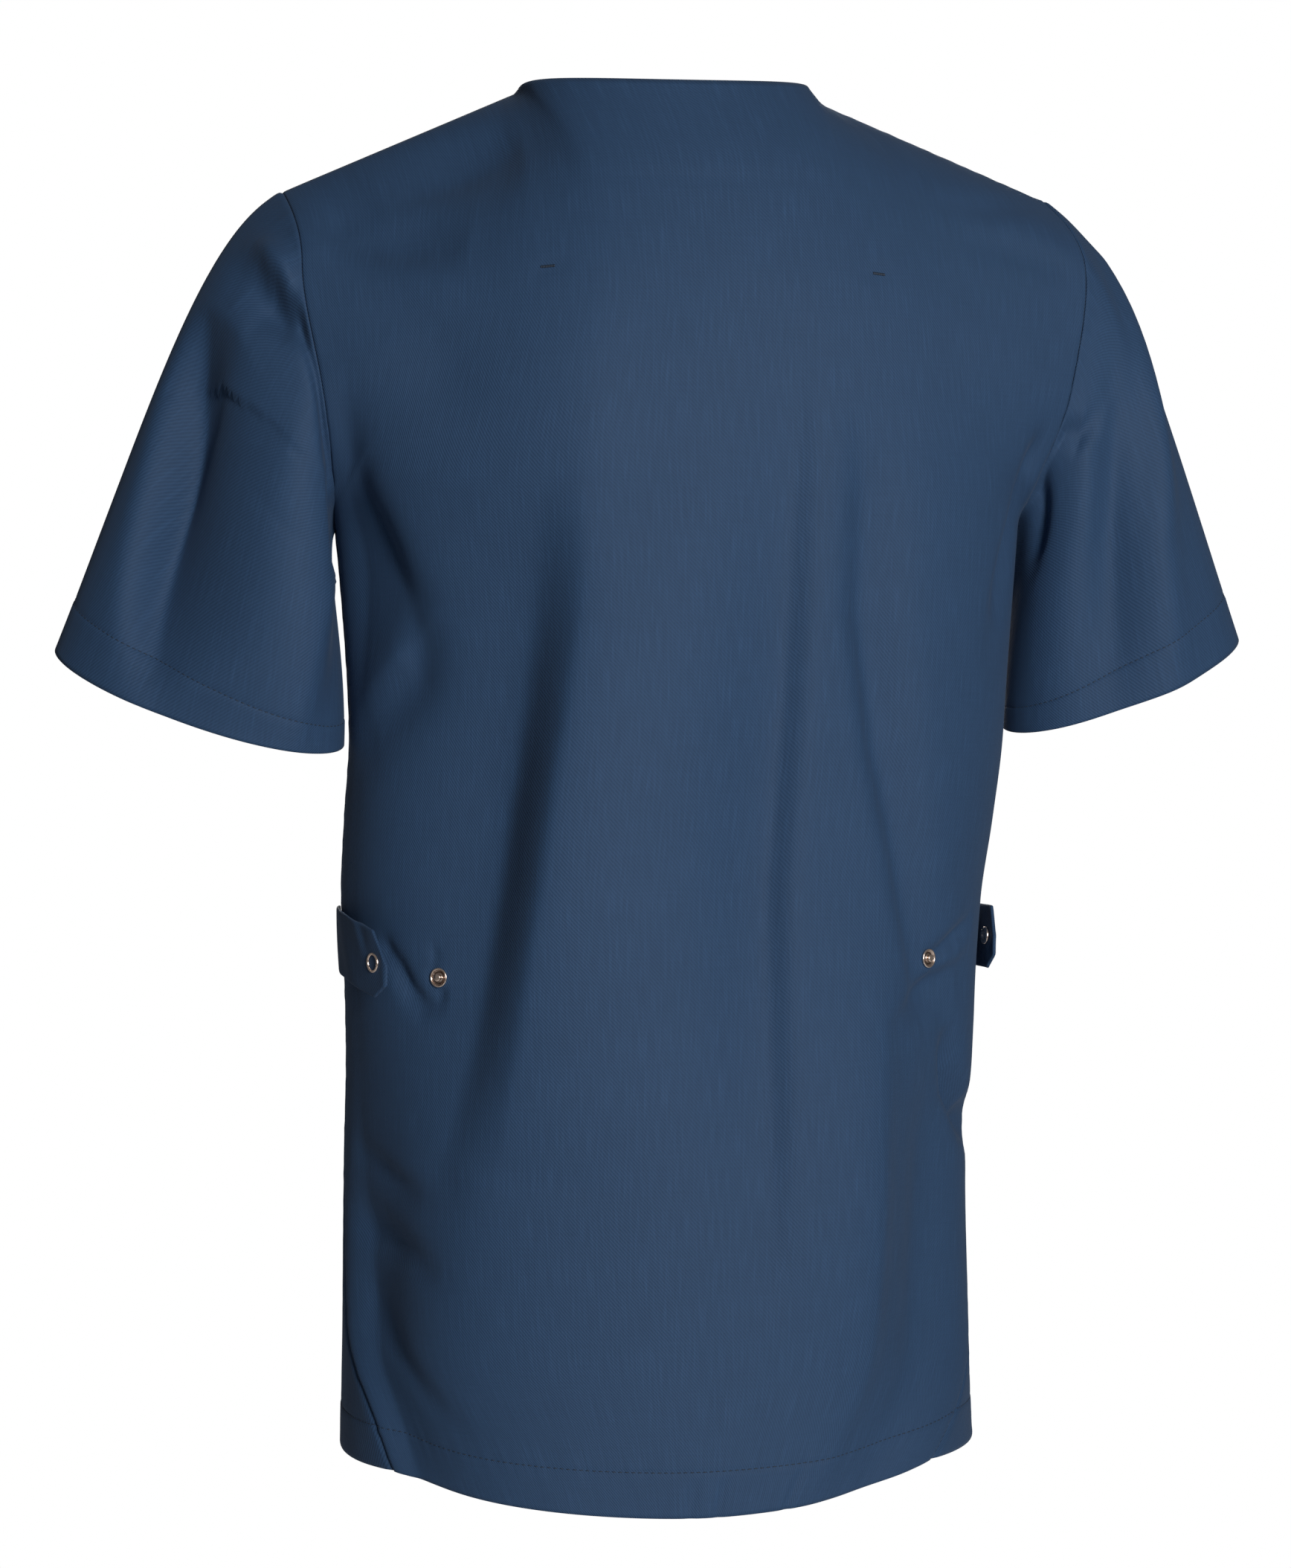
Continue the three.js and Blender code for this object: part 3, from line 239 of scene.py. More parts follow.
def mix(start, end, share):
    return start + (end - start) * share


def smooth(value):
    value = np.clip(value, 0, 1)
    return value * value * (3 - 2 * value)


def column(names, rows, name, at):
    # a table's column as a smooth curve that never overshoots its rows
    places = np.array([row[0] for row in rows], float)
    values = np.array([row[names.index(name)] for row in rows], float)
    rises = np.diff(values) / np.diff(places)
    before, after = rises[:-1], rises[1:]
    product = before * after
    inner = np.where(product > 0, 2 * product / np.where(product > 0, before + after, 1), 0)
    slopes = np.concatenate([[rises[0]], inner, [rises[-1]]])
    at = np.asarray(at, float)
    index = np.clip(np.searchsorted(places, at, side="left") - 1, 0, len(rows) - 2)
    span = places[index + 1] - places[index]
    share = (at - places[index]) / span
    eased = share * share * (3 - 2 * share)
    bend = (1 - share) * slopes[index] - share * slopes[index + 1]
    return mix(values[index], values[index + 1], eased) + span * share * (1 - share) * bend


def foldDepth(folds, across, height):
    # depth of all folds at places of the cloth; each place takes the nearest stretch of a fold's path
    total = np.zeros(np.broadcast(across, height).shape)
    for fold in folds:
        path = np.array(fold["path"], float)
        steps = np.diff(path, axis=0)
        lengths = np.hypot(steps[:, 0], steps[:, 1])
        reach = np.concatenate([[0], np.cumsum(lengths)])
        best = np.full(total.shape, 1e9)
        side = np.zeros(total.shape)
        along = np.zeros(total.shape)
        for i, (step, length) in enumerate(zip(steps, lengths)):
            dx = across - path[i, 0]
            dz = height - path[i, 1]
            share = np.clip((dx * step[0] + dz * step[1]) / length ** 2, 0, 1)
            gap = np.hypot(dx - share * step[0], dz - share * step[1])
            turn = (dx * step[1] - dz * step[0]) / length
            closer = gap < best
            best = np.where(closer, gap, best)
            side = np.where(closer, turn, side)
            along = np.where(closer, (reach[i] + share * length) / reach[-1], along)
        # past the ends of a path the near side passes softly into the far side
        farShare = 0.5 + 0.5 * np.clip(side / np.maximum(best, 1e-6), -1, 1)
        width = mix(fold["near"], fold["far"], farShare)
        swell = np.sin(np.pi * along)
        ends = mix(fold["start"], fold["end"], along)
        power = 2 - fold.get("crest", 0) * (1 - farShare)
        total += fold["depth"] * (ends + (1 - ends) * swell) * np.exp(-(best / width) ** power)
    return total


def section(panel, u, station):
    at = lambda name: column(bodyColumns, bodyRows, name, station)
    isBack = panel == "back"
    swing = np.where(u > 0, at("swingLeft"), at("swingRight"))
    angle = np.radians(u * (90 - swing if isBack else 90 + swing))
    half = at("half") if isBack else np.where(station <= garment["underarm"], at("half"), at("frontHalf"))
    edge, depth, middle = at(panel + "Edge"), at(panel + "Depth"), at(panel + "Mid")
    turn = np.cos(angle)
    out = np.sign(turn) * np.abs(turn) ** at("full")
    reach = np.where(out < 0, at("backDepth"), depth)
    lead = 1 if isBack else -1
    return np.stack(np.broadcast_arrays(
        at("sway") + half * mix(u, np.sin(angle), at("round")),
        lead * (edge + (reach - edge) * out),
        mix(middle, at("edge"), np.abs(u) ** garment["hemBow"]) - at("lean") * u,
    ), -1)


def topEdge(panel, u):
    g = garment
    side, part = np.sign(u), np.abs(u)
    along = np.clip((part - g["neckColumn"]) / (1 - g["neckColumn"]), 0, 1)
    width = mix(g["neckHalfWidth"], g["shoulderHalfWidth"], along)
    seam = np.stack([side * width + g["shoulderSway"] * along, g["shoulderForward"] * along,
                     -g["shoulderDrop"] * along], -1)
    share = np.clip(part / g["neckColumn"], 0, 1)
    if panel == "back":
        turn = share * math.pi / 2
        drop = np.clip(np.cos(turn), 0, 1)
        neck = np.stack([side * g["neckHalfWidth"] * np.sin(turn),
                         g["backNeckDepth"] * drop ** g["backNeckSquareness"],
                         -g["backNeckDrop"] * drop ** g["backNeckFall"]], -1)
    else:
        neck = np.stack([side * g["neckHalfWidth"] * share,
                         -g["frontNeckDepth"] * (1 - share ** g["frontNeckBulge"]),
                         -g["frontNeckDrop"] * (1 - share)], -1)
    point = np.where((part >= g["neckColumn"])[..., None], seam, neck)
    point[..., 2] -= g["shoulderLean"] * point[..., 0] / g["shoulderHalfWidth"]
    return point


def panelPoints(panel, u, station):
    # the panel's outer face before its folds
    u, station = np.broadcast_arrays(u, station)
    point = section(panel, u, station)
    share = np.clip((station - garment["underarm"]) / (garment["shoulder"] - garment["underarm"]), 0, 1)
    reach = np.minimum(garment["neckBlend"] * np.sqrt(1 - share), 1 - np.abs(u))
    shift = np.zeros(point.shape)
    samples = 9
    for sample in range(samples):
        place = np.clip(u + reach * (2 * sample / (samples - 1) - 1), -1, 1)
        shift += topEdge(panel, place) - section(panel, place, np.float64(garment["shoulder"]))
    shift /= samples
    point[..., 0] += shift[..., 0] * share ** 1.5
    point[..., 1] += shift[..., 1] * share ** 3.2
    point[..., 2] += shift[..., 2] * share ** 1.4
    onShoulder = smooth((np.abs(u) - 0.15) / 0.3)
    point[..., 2] += garment["shoulderRounding"] * onShoulder * share ** 4 * (1 - share)
    return point


def gridNormals(grid, closed=False):
    if closed:
        across = np.roll(grid, -1, 1) - np.roll(grid, 1, 1)
    else:
        across = np.gradient(grid, axis=1)
    normal = np.cross(across, np.gradient(grid, axis=0))
    return normal / np.maximum(np.linalg.norm(normal, axis=2, keepdims=True), 1e-12)


def ripple(s, seed):
    # an uneven wave along a seam
    waves = np.sin(s / 1.9 + 1.3 * seed) + 0.7 * np.sin(s / 3.1 + seed * 2.1) + 0.5 * np.sin(s / 1.27 + seed)
    return waves / 2.2


def denseStations():
    hem = cloth["hemStation"]
    low = [0, 0.03, 0.1, 0.17, 0.23, hem - 0.04, hem - 0.018, hem, hem + 0.018, hem + 0.04]
    tube = np.linspace(hem + 0.08, garment["underarm"], 138)
    arm = np.linspace(garment["underarm"], garment["shoulder"], 68)[1:]
    return np.concatenate([low, tube, arm])


stations = denseStations()
underarmRow = int(np.argmin(np.abs(stations - garment["underarm"])))


def hemProfile(distance):
    # outward lift of the turned hem by the distance above the stitch row, in mm
    band = cloth["hemRaise"] * smooth(-distance / 1.2 + 0.2)
    return band - cloth["stitchDip"] * np.exp(-(distance / 0.8) ** 2)


def panelGrid(panel, columns):
    u = np.linspace(-1, 1, columns)
    if panel == "back":
        u = u[::-1]
    grid = panelPoints(panel, u[None, :], stations[:, None])
    normals = gridNormals(grid)
    across = u[None, :] * garment["halfGirth"] + 0 * grid[..., 0]
    height = grid[..., 2]
    station = stations[:, None] + 0 * height
    fade = smooth((1 - np.abs(u[None, :])) / 0.12) * smooth((garment["shoulder"] - station) / 0.8)
    depth = foldDepth(backFolds if panel == "back" else frontFolds, across, height) * fade
    # slack cloth is never quite even
    depth += 0.45 * np.sin(across / 31 + height / 57) * np.sin(height / 43 - across / 71) * fade
    sideGap = (1 - np.abs(u[None, :])) * garment["halfGirth"]
    depth += 0.35 * ripple(height, 1) * np.exp(-sideGap / 7) * smooth(sideGap / 2)
    hemGap = (station - cloth["hemStation"]) * cloth["hemStationHeight"]
    depth += 0.22 * ripple(across, 2) * np.exp(-np.abs(hemGap) / 7)
    topGap = (garment["shoulder"] - station) * cloth["topStationHeight"]
    depth += 0.25 * ripple(across, 3) * np.exp(-topGap / 6) * smooth(topGap / 2)
    if panel == "back":
        # the cloth is flat where a stud holds it
        for stud in studs.values():
            gap = np.hypot(across - stud["across"], height - stud["height"])
            held = smooth(2.9 - gap / 3)
            depth = mix(depth, depth.flat[np.argmin(gap)], held)
    depth -= hemProfile(hemGap)
    grid = grid - normals * depth[..., None]
    # cloth turns in at a seam, in directions that both pieces share
    grid[..., 0] -= 1.4 * np.sign(u[None, :]) * np.exp(-(sideGap / 1.6) ** 2)
    shoulderSeam = np.abs(u[None, :]) > garment["neckColumn"]
    grid[..., 2] -= 0.8 * np.exp(-(topGap / 1.6) ** 2) * shoulderSeam
    return grid * mm, u, across, height


def cuffPoints(form, share):
    turn = share * 2 * math.pi
    tilt, pitch, yaw = (math.radians(form[name]) for name in ("tilt", "pitch", "yaw"))
    level = math.cos(tilt)
    outward = np.array([level * math.cos(yaw), level * math.sin(yaw), math.sin(tilt)])
    backward = np.array([-math.sin(yaw), math.cos(pitch), -math.sin(pitch)])
    point = np.array(form["middle"], float) - form["outer"] * np.cos(turn)[..., None] * outward
    point = point + form["deep"] * np.sin(turn)[..., None] * backward
    point[..., 0] *= form["side"]
    return point


def sleeveGrid(loop, form, folds, rows):
    gaps = np.linalg.norm(np.roll(loop, -1, 0) - loop, axis=1)
    share = np.concatenate([[0], np.cumsum(gaps)[:-1]]) / gaps.sum()
    at = lambda name: column(startColumns, sleeveStarts, name, share)
    side = form["side"]
    out = at("out") * (1 - form["hug"] * at("hug"))
    first = np.stack([side * out, at("back"), at("up")], -1)
    first /= np.linalg.norm(first, axis=1, keepdims=True)
    last = np.stack([side * at("out2"), 0 * share - garment["cuffForward"], at("up2")], -1)
    last /= np.linalg.norm(last, axis=1, keepdims=True)
    end = cuffPoints(form, share)
    second = loop + first * at("reach")[:, None]
    third = end - last * at("reach2")[:, None]
    t = rows[:, None, None]
    grid = (1 - t) ** 3 * loop + 3 * (1 - t) ** 2 * t * second + 3 * (1 - t) * t * t * third + t ** 3 * end
    normals = gridNormals(grid, True) * side
    across = share[None, :] * garment["sleeveGirth"] + 0 * rows[:, None]
    height = rows[:, None] * garment["sleeveLength"] + 0 * across
    girth, length = garment["sleeveGirth"], garment["sleeveLength"]
    placed = [dict(fold, path=[(x * girth, z * length) for x, z in fold["path"]]) for fold in folds]
    depth = sum(foldDepth(placed, across + turn * garment["sleeveGirth"], height) for turn in (-1, 0, 1))
    depth *= smooth(rows / 0.07)[:, None]
    depth += (0.4 * np.sin(across / 29 + height / 47) * np.sin(height / 37 - across / 53)
              * smooth(rows / 0.18)[:, None])
    hemGap = -(height - (garment["sleeveLength"] - cloth["cuffHem"]))
    depth += 0.2 * ripple(across, 4) * np.exp(-np.abs(hemGap) / 6)
    depth -= hemProfile(hemGap)
    depth += 0.5 * ripple(across, 5) * np.exp(-height / 8) * smooth(height / 2)
    depth -= 0.7 * (height / 3) * np.exp(1 - height / 3)
    return (grid - normals * depth[..., None]) * mm, share, across, height


def newMesh(name, points, faces, uvs=None):
    mesh = bpy.data.meshes.new(name)
    mesh.from_pydata(points, [], faces)
    if uvs is not None:
        layer = mesh.uv_layers.new(name="cloth")
        layer.data.foreach_set("uv", np.asarray(uvs, np.float32).ravel())
    mesh.validate()
    mesh.update()
    item = bpy.data.objects.new(name, mesh)
    bpy.context.scene.collection.objects.link(item)
    for face in mesh.polygons:
        face.use_smooth = True
    return item


def clothPiece(name, grid, flatX, flatY, hemWeight, closed=False, flip=False):
    rows, columns = grid.shape[:2]
    spans = columns if closed else columns - 1
    girth = garment["sleeveGirth"]
    faces, uvs = [], []
    for row in range(rows - 1):
        for index in range(spans):
            after = (index + 1) % columns
            corners = [(row, index), (row, after), (row + 1, after), (row + 1, index)]
            if flip:
                corners.reverse()
            faces.append([r * columns + c for r, c in corners])
            for r, c in corners:
                wrap = girth if closed and c == 0 and index == columns - 1 else 0
                uvs.append(((flatX[r, c] + wrap) * mm, flatY[r, c] * mm))
    piece = newMesh(name, grid.reshape(-1, 3).tolist(), faces, uvs)
    group = piece.vertex_groups.new(name="wall")
    for row in range(rows):
        group.add(list(range(row * columns, (row + 1) * columns)), float(hemWeight[row]), "REPLACE")
    shell = piece.modifiers.new("wall", "SOLIDIFY")
    shell.thickness = cloth["hemThickness"] * mm
    shell.offset = -1
    shell.vertex_group = "wall"
    shell.use_rim = True
    shell.use_even_offset = False
    return piece


def rowWeights(distance):
    # the wall is as thick as three layers in the hem, and as one above it
    thin = cloth["thickness"] / cloth["hemThickness"]
    return mix(thin, 1, smooth(-distance / 1.5 + 0.5))


def clothMaterial(name, shadeFactor=1.0):
    material = bpy.data.materials.new(name)
    material.use_nodes = True
    tree = material.node_tree
    nodes, links = tree.nodes, tree.links
    shader = nodes["Principled BSDF"]
    shader.inputs["Roughness"].default_value = 0.68
    shader.inputs["Specular IOR Level"].default_value = 0.22
    shader.inputs["Sheen Weight"].default_value = 0.08
    shader.inputs["Sheen Roughness"].default_value = 0.45
    shader.inputs["Sheen Tint"].default_value = (0.55, 0.68, 0.9, 1)
    place = nodes.new("ShaderNodeUVMap")
    place.uv_map = "cloth"

    def mapped(angle, scale):
        mapping = nodes.new("ShaderNodeMapping")
        mapping.inputs["Rotation"].default_value = (0, 0, math.radians(angle))
        mapping.inputs["Scale"].default_value = scale
        links.new(place.outputs["UV"], mapping.inputs["Vector"])
        return mapping.outputs["Vector"]

    def noise(angle, scale, detail):
        texture = nodes.new("ShaderNodeTexNoise")
        texture.inputs["Scale"].default_value = 1
        texture.inputs["Detail"].default_value = detail
        texture.inputs["Roughness"].default_value = 0.55
        links.new(mapped(angle, scale), texture.inputs["Vector"])
        return texture.outputs["Fac"]

    def maths(operation, *values):
        node = nodes.new("ShaderNodeMath")
        node.operation = operation
        for i, value in enumerate(values):
            if isinstance(value, (int, float)):
                node.inputs[i].default_value = value
            else:
                links.new(value, node.inputs[i])
        return node.outputs["Value"]

    twill = nodes.new("ShaderNodeTexWave")
    twill.wave_type = "BANDS"
    twill.bands_direction = "X"
    twill.inputs["Scale"].default_value = 0.25
    twill.inputs["Distortion"].default_value = 1.2
    twill.inputs["Detail"].default_value = 1.5
    twill.inputs["Detail Scale"].default_value = 0.8
    links.new(mapped(40, (1000, 1000, 1000)), twill.inputs["Vector"])
    warp = noise(0, (900, 45, 1), 3)
    weft = noise(0, (45, 900, 1), 3)
    cloudy = noise(20, (22, 22, 1), 2)
    slub = maths("POWER", warp, 5.0)
    shade = maths("ADD", 0.66, maths("MULTIPLY", twill.outputs["Fac"], 0.2))
    shade = maths("ADD", shade, maths("MULTIPLY", warp, 0.14))
    shade = maths("ADD", shade, maths("MULTIPLY", weft, 0.14))
    shade = maths("ADD", shade, maths("MULTIPLY", cloudy, 0.1))
    shade = maths("ADD", shade, maths("MULTIPLY", slub, 0.9))
    colour = nodes.new("ShaderNodeMix")
    colour.data_type = "RGBA"
    colour.blend_type = "MULTIPLY"
    colour.inputs["Factor"].default_value = 1
    # a factor below 1 paints shade into the twill's colour
    colour.inputs["A"].default_value = (0.0294 * shadeFactor, 0.0688 * shadeFactor, 0.148 * shadeFactor, 1)
    links.new(shade, colour.inputs["B"])
    links.new(colour.outputs["Result"], shader.inputs["Base Color"])
    weave = maths("ADD", twill.outputs["Fac"], maths("MULTIPLY", warp, 0.8))
    weave = maths("ADD", weave, maths("MULTIPLY", weft, 0.6))
    bump = nodes.new("ShaderNodeBump")
    bump.inputs["Strength"].default_value = 0.5
    bump.inputs["Distance"].default_value = 0.0002
    links.new(weave, bump.inputs["Height"])
    links.new(bump.outputs["Normal"], shader.inputs["Normal"])
    return material


def plainMaterial(name, colour, roughness, metallic=0.0, variation=0.1, scale=400):
    material = bpy.data.materials.new(name)
    material.use_nodes = True
    nodes, links = material.node_tree.nodes, material.node_tree.links
    shader = nodes["Principled BSDF"]
    shader.inputs["Metallic"].default_value = metallic
    place = nodes.new("ShaderNodeTexCoord")
    texture = nodes.new("ShaderNodeTexNoise")
    texture.inputs["Scale"].default_value = scale
    links.new(place.outputs["Object"], texture.inputs["Vector"])
    ramp = nodes.new("ShaderNodeMapRange")
    ramp.inputs["To Min"].default_value = roughness - variation
    ramp.inputs["To Max"].default_value = roughness + variation
    links.new(texture.outputs["Fac"], ramp.inputs["Value"])
    links.new(ramp.outputs["Result"], shader.inputs["Roughness"])
    tint = nodes.new("ShaderNodeMapRange")
    tint.data_type = "FLOAT_VECTOR"  # its sockets 9 and 10 are To Min and To Max
    tint.inputs[9].default_value = [c * 0.92 for c in colour]
    tint.inputs[10].default_value = [min(1, c * 1.06) for c in colour]
    links.new(texture.outputs["Fac"], tint.inputs["Vector"])
    if not metallic:
        links.new(tint.outputs["Vector"], shader.inputs["Base Color"])
        return material
    # the dish of a stud is painted darker: painted shade in its recess
    dish = nodes.new("ShaderNodeAttribute")
    dish.attribute_name = "dish"
    dishShade = nodes.new("ShaderNodeMix")
    dishShade.data_type = "RGBA"
    dishShade.inputs["B"].default_value = (0.13, 0.08, 0.065, 1)
    links.new(dish.outputs["Fac"], dishShade.inputs["Factor"])
    links.new(tint.outputs["Vector"], dishShade.inputs["A"])
    links.new(dishShade.outputs["Result"], shader.inputs["Base Color"])
    return material


twillMaterial = clothMaterial("twill")
# the tabs wear a copy of the twill painted darker, as painted shade
shadedTabTwill = clothMaterial("tab twill, painted shade", 0.92)
# the thread is the cloth's navy painted darker, as painted shade where stitches and tacks sink in
shadedThreadMaterial = plainMaterial("thread", (0.02, 0.034, 0.06), 0.6)
metalMaterial = plainMaterial("snap metal", (0.95, 0.78, 0.68), 0.25, 1.0, 0.08, 900)

# Panels
backGrid, backU, backAcross, backHeight = panelGrid("back", 171)
frontGrid, frontU, frontAcross, frontHeight = panelGrid("front", 121)
panelHemWeights = rowWeights((stations - cloth["hemStation"]) * cloth["hemStationHeight"])
back = clothPiece("back_cloth", backGrid, backAcross, backHeight, hemWeight=panelHemWeights)
front = clothPiece("front_cloth", frontGrid, frontAcross, frontHeight, hemWeight=panelHemWeights)
print("panels made")


# Sleeves start from the panels' armhole edges
def armhole(side):
    rise = backGrid[underarmRow:, 0 if side > 0 else -1]
    fall = frontGrid[underarmRow + 1:-1, -1 if side > 0 else 0][::-1]
    return np.concatenate([rise, fall]) / mm


hemAlong = 1 - cloth["cuffHem"] / garment["sleeveLength"]
sleeveRows = np.concatenate([
    [0, 0.004, 0.01, 0.02, 0.03], np.linspace(0.045, hemAlong - 0.02, 62),
    [hemAlong - 0.008, hemAlong - 0.003, hemAlong, hemAlong + 0.003, hemAlong + 0.008, hemAlong + 0.025],
    [0.96, 0.99, 1],
])
sleevePieces = {}
for sideName, form in sleeves.items():
    grid, share, across, height = sleeveGrid(armhole(form["side"]), form, sleeveFolds[sideName], sleeveRows)
    hemStart = garment["sleeveLength"] - cloth["cuffHem"]
    weights = rowWeights(hemStart - sleeveRows * garment["sleeveLength"])
    piece = clothPiece("sleeve_cloth_" + sideName, grid, across, height, closed=True, flip=form["side"] < 0,
                       hemWeight=weights)
    sleevePieces[sideName] = dict(piece=piece, grid=grid)
print("sleeves made")


def sampleGrid(grid, row, col):
    # a place of a grid at fractional row and column
    row = np.clip(row, 0, grid.shape[0] - 1.001)
    col = np.clip(col, 0, grid.shape[1] - 1.001)
    r, c = row.astype(int), col.astype(int)
    a, b = (row - r)[:, None], (col - c)[:, None]
    return (grid[r, c] * (1 - a) * (1 - b) + grid[r + 1, c] * a * (1 - b)
            + grid[r, c + 1] * (1 - a) * b + grid[r + 1, c + 1] * a * b)


def stitchRow(name, line, normals):
    # separate stitches along a line of close points; each dips into the cloth at both ends
    steps = np.linalg.norm(np.diff(line, axis=0), axis=1)
    reach = np.concatenate([[0], np.cumsum(steps)])
    pitch = cloth["stitchPitch"] * mm
    count = int(reach[-1] / pitch)
    rings, sides = 5, 6
    points, faces = [], []
    radius = cloth["stitchRadius"] * mm
    for number in range(count):
        start = (number + 0.15) * pitch
        places = start + np.linspace(0, 1, rings) * cloth["stitchLength"] * mm
        spine = np.stack([np.interp(places, reach, line[:, k]) for k in range(3)], -1)
        up = np.stack([np.interp(places, reach, normals[:, k]) for k in range(3)], -1)
        up /= np.linalg.norm(up, axis=1, keepdims=True)
        run = spine[-1] - spine[0]
        run /= np.linalg.norm(run)
        across = np.cross(up, run)
        arch = np.array([-0.8, 0.1, 0.5, 0.1, -0.8]) * radius
        width = np.array([0.45, 0.9, 1.0, 0.9, 0.45]) * radius
        base = len(points)
        for k in range(rings):
            for side in range(sides):
                turn = 2 * math.pi * side / sides
                points.append(spine[k] + up[k] * (arch[k] + width[k] * math.sin(turn) + radius * 0.4)
                              + across[k] * width[k] * math.cos(turn))
        for k in range(rings - 1):
            for side in range(sides):
                after = (side + 1) % sides
                low, high = base + k * sides, base + (k + 1) * sides
                faces.append([low + side, low + after, high + after, high + side])
        faces.append([base + side for side in reversed(range(sides))])
        faces.append([base + (rings - 1) * sides + side for side in range(sides)])
    row = newMesh(name, [list(p) for p in points], faces)
    row.data.materials.append(shadedThreadMaterial)
    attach(row, "root")
    return row


def alongGridRow(grid, rowIndex, closed=False, sign=1):
    line = grid[rowIndex]
    normals = gridNormals(grid, closed)[rowIndex] * sign
    if closed:
        line = np.concatenate([line, line[:1]])
        normals = np.concatenate([normals, normals[:1]])
    return line, normals


hemRow = int(np.argmin(np.abs(stations - cloth["hemStation"])))
backStitches = stitchRow("hem_stitches_back", *alongGridRow(backGrid, hemRow))
frontStitches = stitchRow("hem_stitches_front", *alongGridRow(frontGrid, hemRow))
for sideName, form in sleeves.items():
    grid = sleevePieces[sideName]["grid"]
    rowIndex = int(np.argmin(np.abs(sleeveRows - hemAlong)))
    line, normals = alongGridRow(grid, rowIndex, True, form["side"])
    stitchRow("cuff_stitches_" + sideName, line, normals)
print("stitches made")


# Bar tacks on the upper back
def barTack(name, across, height, length, tilt):
    columns = np.array([np.interp(-across, -backU * garment["halfGirth"], np.arange(len(backU)))])
    rows = np.array([np.interp(height, backHeight[:, int(columns[0])], np.arange(len(stations)))])
    centre = sampleGrid(backGrid, rows, columns)[0]
    normal = sampleGrid(gridNormals(backGrid), rows, columns)[0]
    side = np.cross([0, 0, 1], normal)
    side /= np.linalg.norm(side)
    up = np.cross(normal, side)
    points, faces = [], []
    bars = 9
    for bar in range(bars):
        share = bar / (bars - 1) - 0.5
        middle = centre + side * share * length * mm + up * (share * tilt) * mm + normal * 0.15 * mm
        low, high = middle - up * 0.7 * mm, middle + up * 0.7 * mm
        base = len(points)
        for end, lift in ((low, 0.0), (middle, 0.35 * mm), (high, 0.0)):
            for turn in range(6):
                angle = 2 * math.pi * turn / 6
                raised = normal * (lift + 0.2 * mm * math.sin(angle))
                points.append(end + raised + side * 0.42 * mm * math.cos(angle))
        for ring in range(2):
            for turn in range(6):
                after = (turn + 1) % 6
                a, b = base + ring * 6, base + ring * 6 + 6
                faces.append([a + turn, a + after, b + after, b + turn])
        faces.append([base + turn for turn in reversed(range(6))])
        faces.append([base + 12 + turn for turn in range(6)])
    tack = newMesh(name, [list(p) for p in points], faces)
    tack.data.materials.append(shadedThreadMaterial)
    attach(tack, "root")
    return tack


tacks = [barTack("bar_tack_left", 83, -113, 6.5, 0.4), barTack("bar_tack_right", -83, -111, 6.0, -0.3)]

for piece, nodeName in ((back, "back"), (front, "front"), (sleevePieces["left"]["piece"], "sleeve_left"),
                        (sleevePieces["right"]["piece"], "sleeve_right")):
    piece.data.materials.append(twillMaterial)
    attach(piece, "root")
    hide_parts(nodeName)
for name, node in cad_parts.items():
    metal = name.startswith(("ring", "stud", "socket"))
    node.data.materials.clear()
    node.data.materials.append(metalMaterial if metal else twillMaterial)


# Adjuster tabs, from the side seam to the free end
def bodyPoint(angle, height):
    fine = np.linspace(cloth["hemStation"], garment["underarm"], 400)
    station = np.interp(height, column(bodyColumns, bodyRows, "edge", fine), fine)
    at = lambda name: column(bodyColumns, bodyRows, name, station)
    turn = np.radians(angle)
    facing = np.cos(turn)
    depth = np.where(facing > 0, at("backDepth"), at("frontDepth"))
    return np.stack(np.broadcast_arrays(
        at("sway") + at("half") * np.sin(turn),
        np.sign(facing) * depth * np.abs(facing) ** at("full"), height), -1)


def bodyNormal(angle, height):
    across = bodyPoint(angle + 1, height) - bodyPoint(angle - 1, height)
    up = bodyPoint(angle, height + 1) - bodyPoint(angle, height - 1)
    normal = np.cross(up, across)
    return normal / np.linalg.norm(normal, axis=-1, keepdims=True)


def tabPoints(form, along, rise):
    at = lambda name: column(tabColumns, form["rows"], name, along)
    angle = form["side"] * at("angle")
    height = form["rootHeight"] - at("drop") + tab["width"] * (rise - 0.5)
    return bodyPoint(angle, height) + bodyNormal(angle, height) * (at("stand") + tab["wall"])[..., None]


def tabGrid(form, folds):
    middle = tabPoints(form, np.linspace(0, 1, 40), np.full(40, 0.5))
    length = np.linalg.norm(np.diff(middle, axis=0), axis=1).sum()
    # lines close together at the edges, where the cloth turns
    edge = np.array([0, 0.35, 0.9, 1.7]) / tab["width"]
    rise = np.concatenate([edge, np.linspace(0.08, 0.92, 30), 1 - edge[::-1]])[:, None]
    nearEnd = 1 - np.array([1.7, 0.9, 0.35, 0]) / length
    along = np.concatenate([np.linspace(0, 1 - 2.2 / length, 52), nearEnd])[None, :]
    fromBottom, fromTop = rise * tab["width"], (1 - rise) * tab["width"]
    cut = np.maximum(1 - fromBottom / tab["chamferBottom"], 1 - fromTop / tab["chamferTop"])
    end = 1 - np.maximum(cut, 0) * tab["chamferLength"] / length
    along = along * end
    rise = rise + 0 * along
    face = tabPoints(form, along, rise)
    normals = gridNormals(face)
    if form["side"] < 0:
        normals = -normals
    margin = np.minimum(np.minimum(fromBottom, fromTop), (end - along) * length)
    soft = np.sqrt(np.clip(1 - (1 - np.clip(margin / 1.7, 0, 1)) ** 2, 0, 1))
    half = mix(tab["rim"], tab["wall"], soft) / 2
    relief = foldDepth(folds, along * length, fromBottom + 0 * along)
    relief += 0.25 * np.sin(along * 17 + rise * 5) * soft
    centre = face - normals * (tab["wall"] / 2 + relief)[..., None]
    outer, inner = centre + normals * half[..., None], centre - normals * half[..., None]
    return outer * mm, inner * mm, normals, along * length, fromBottom + 0 * along, length


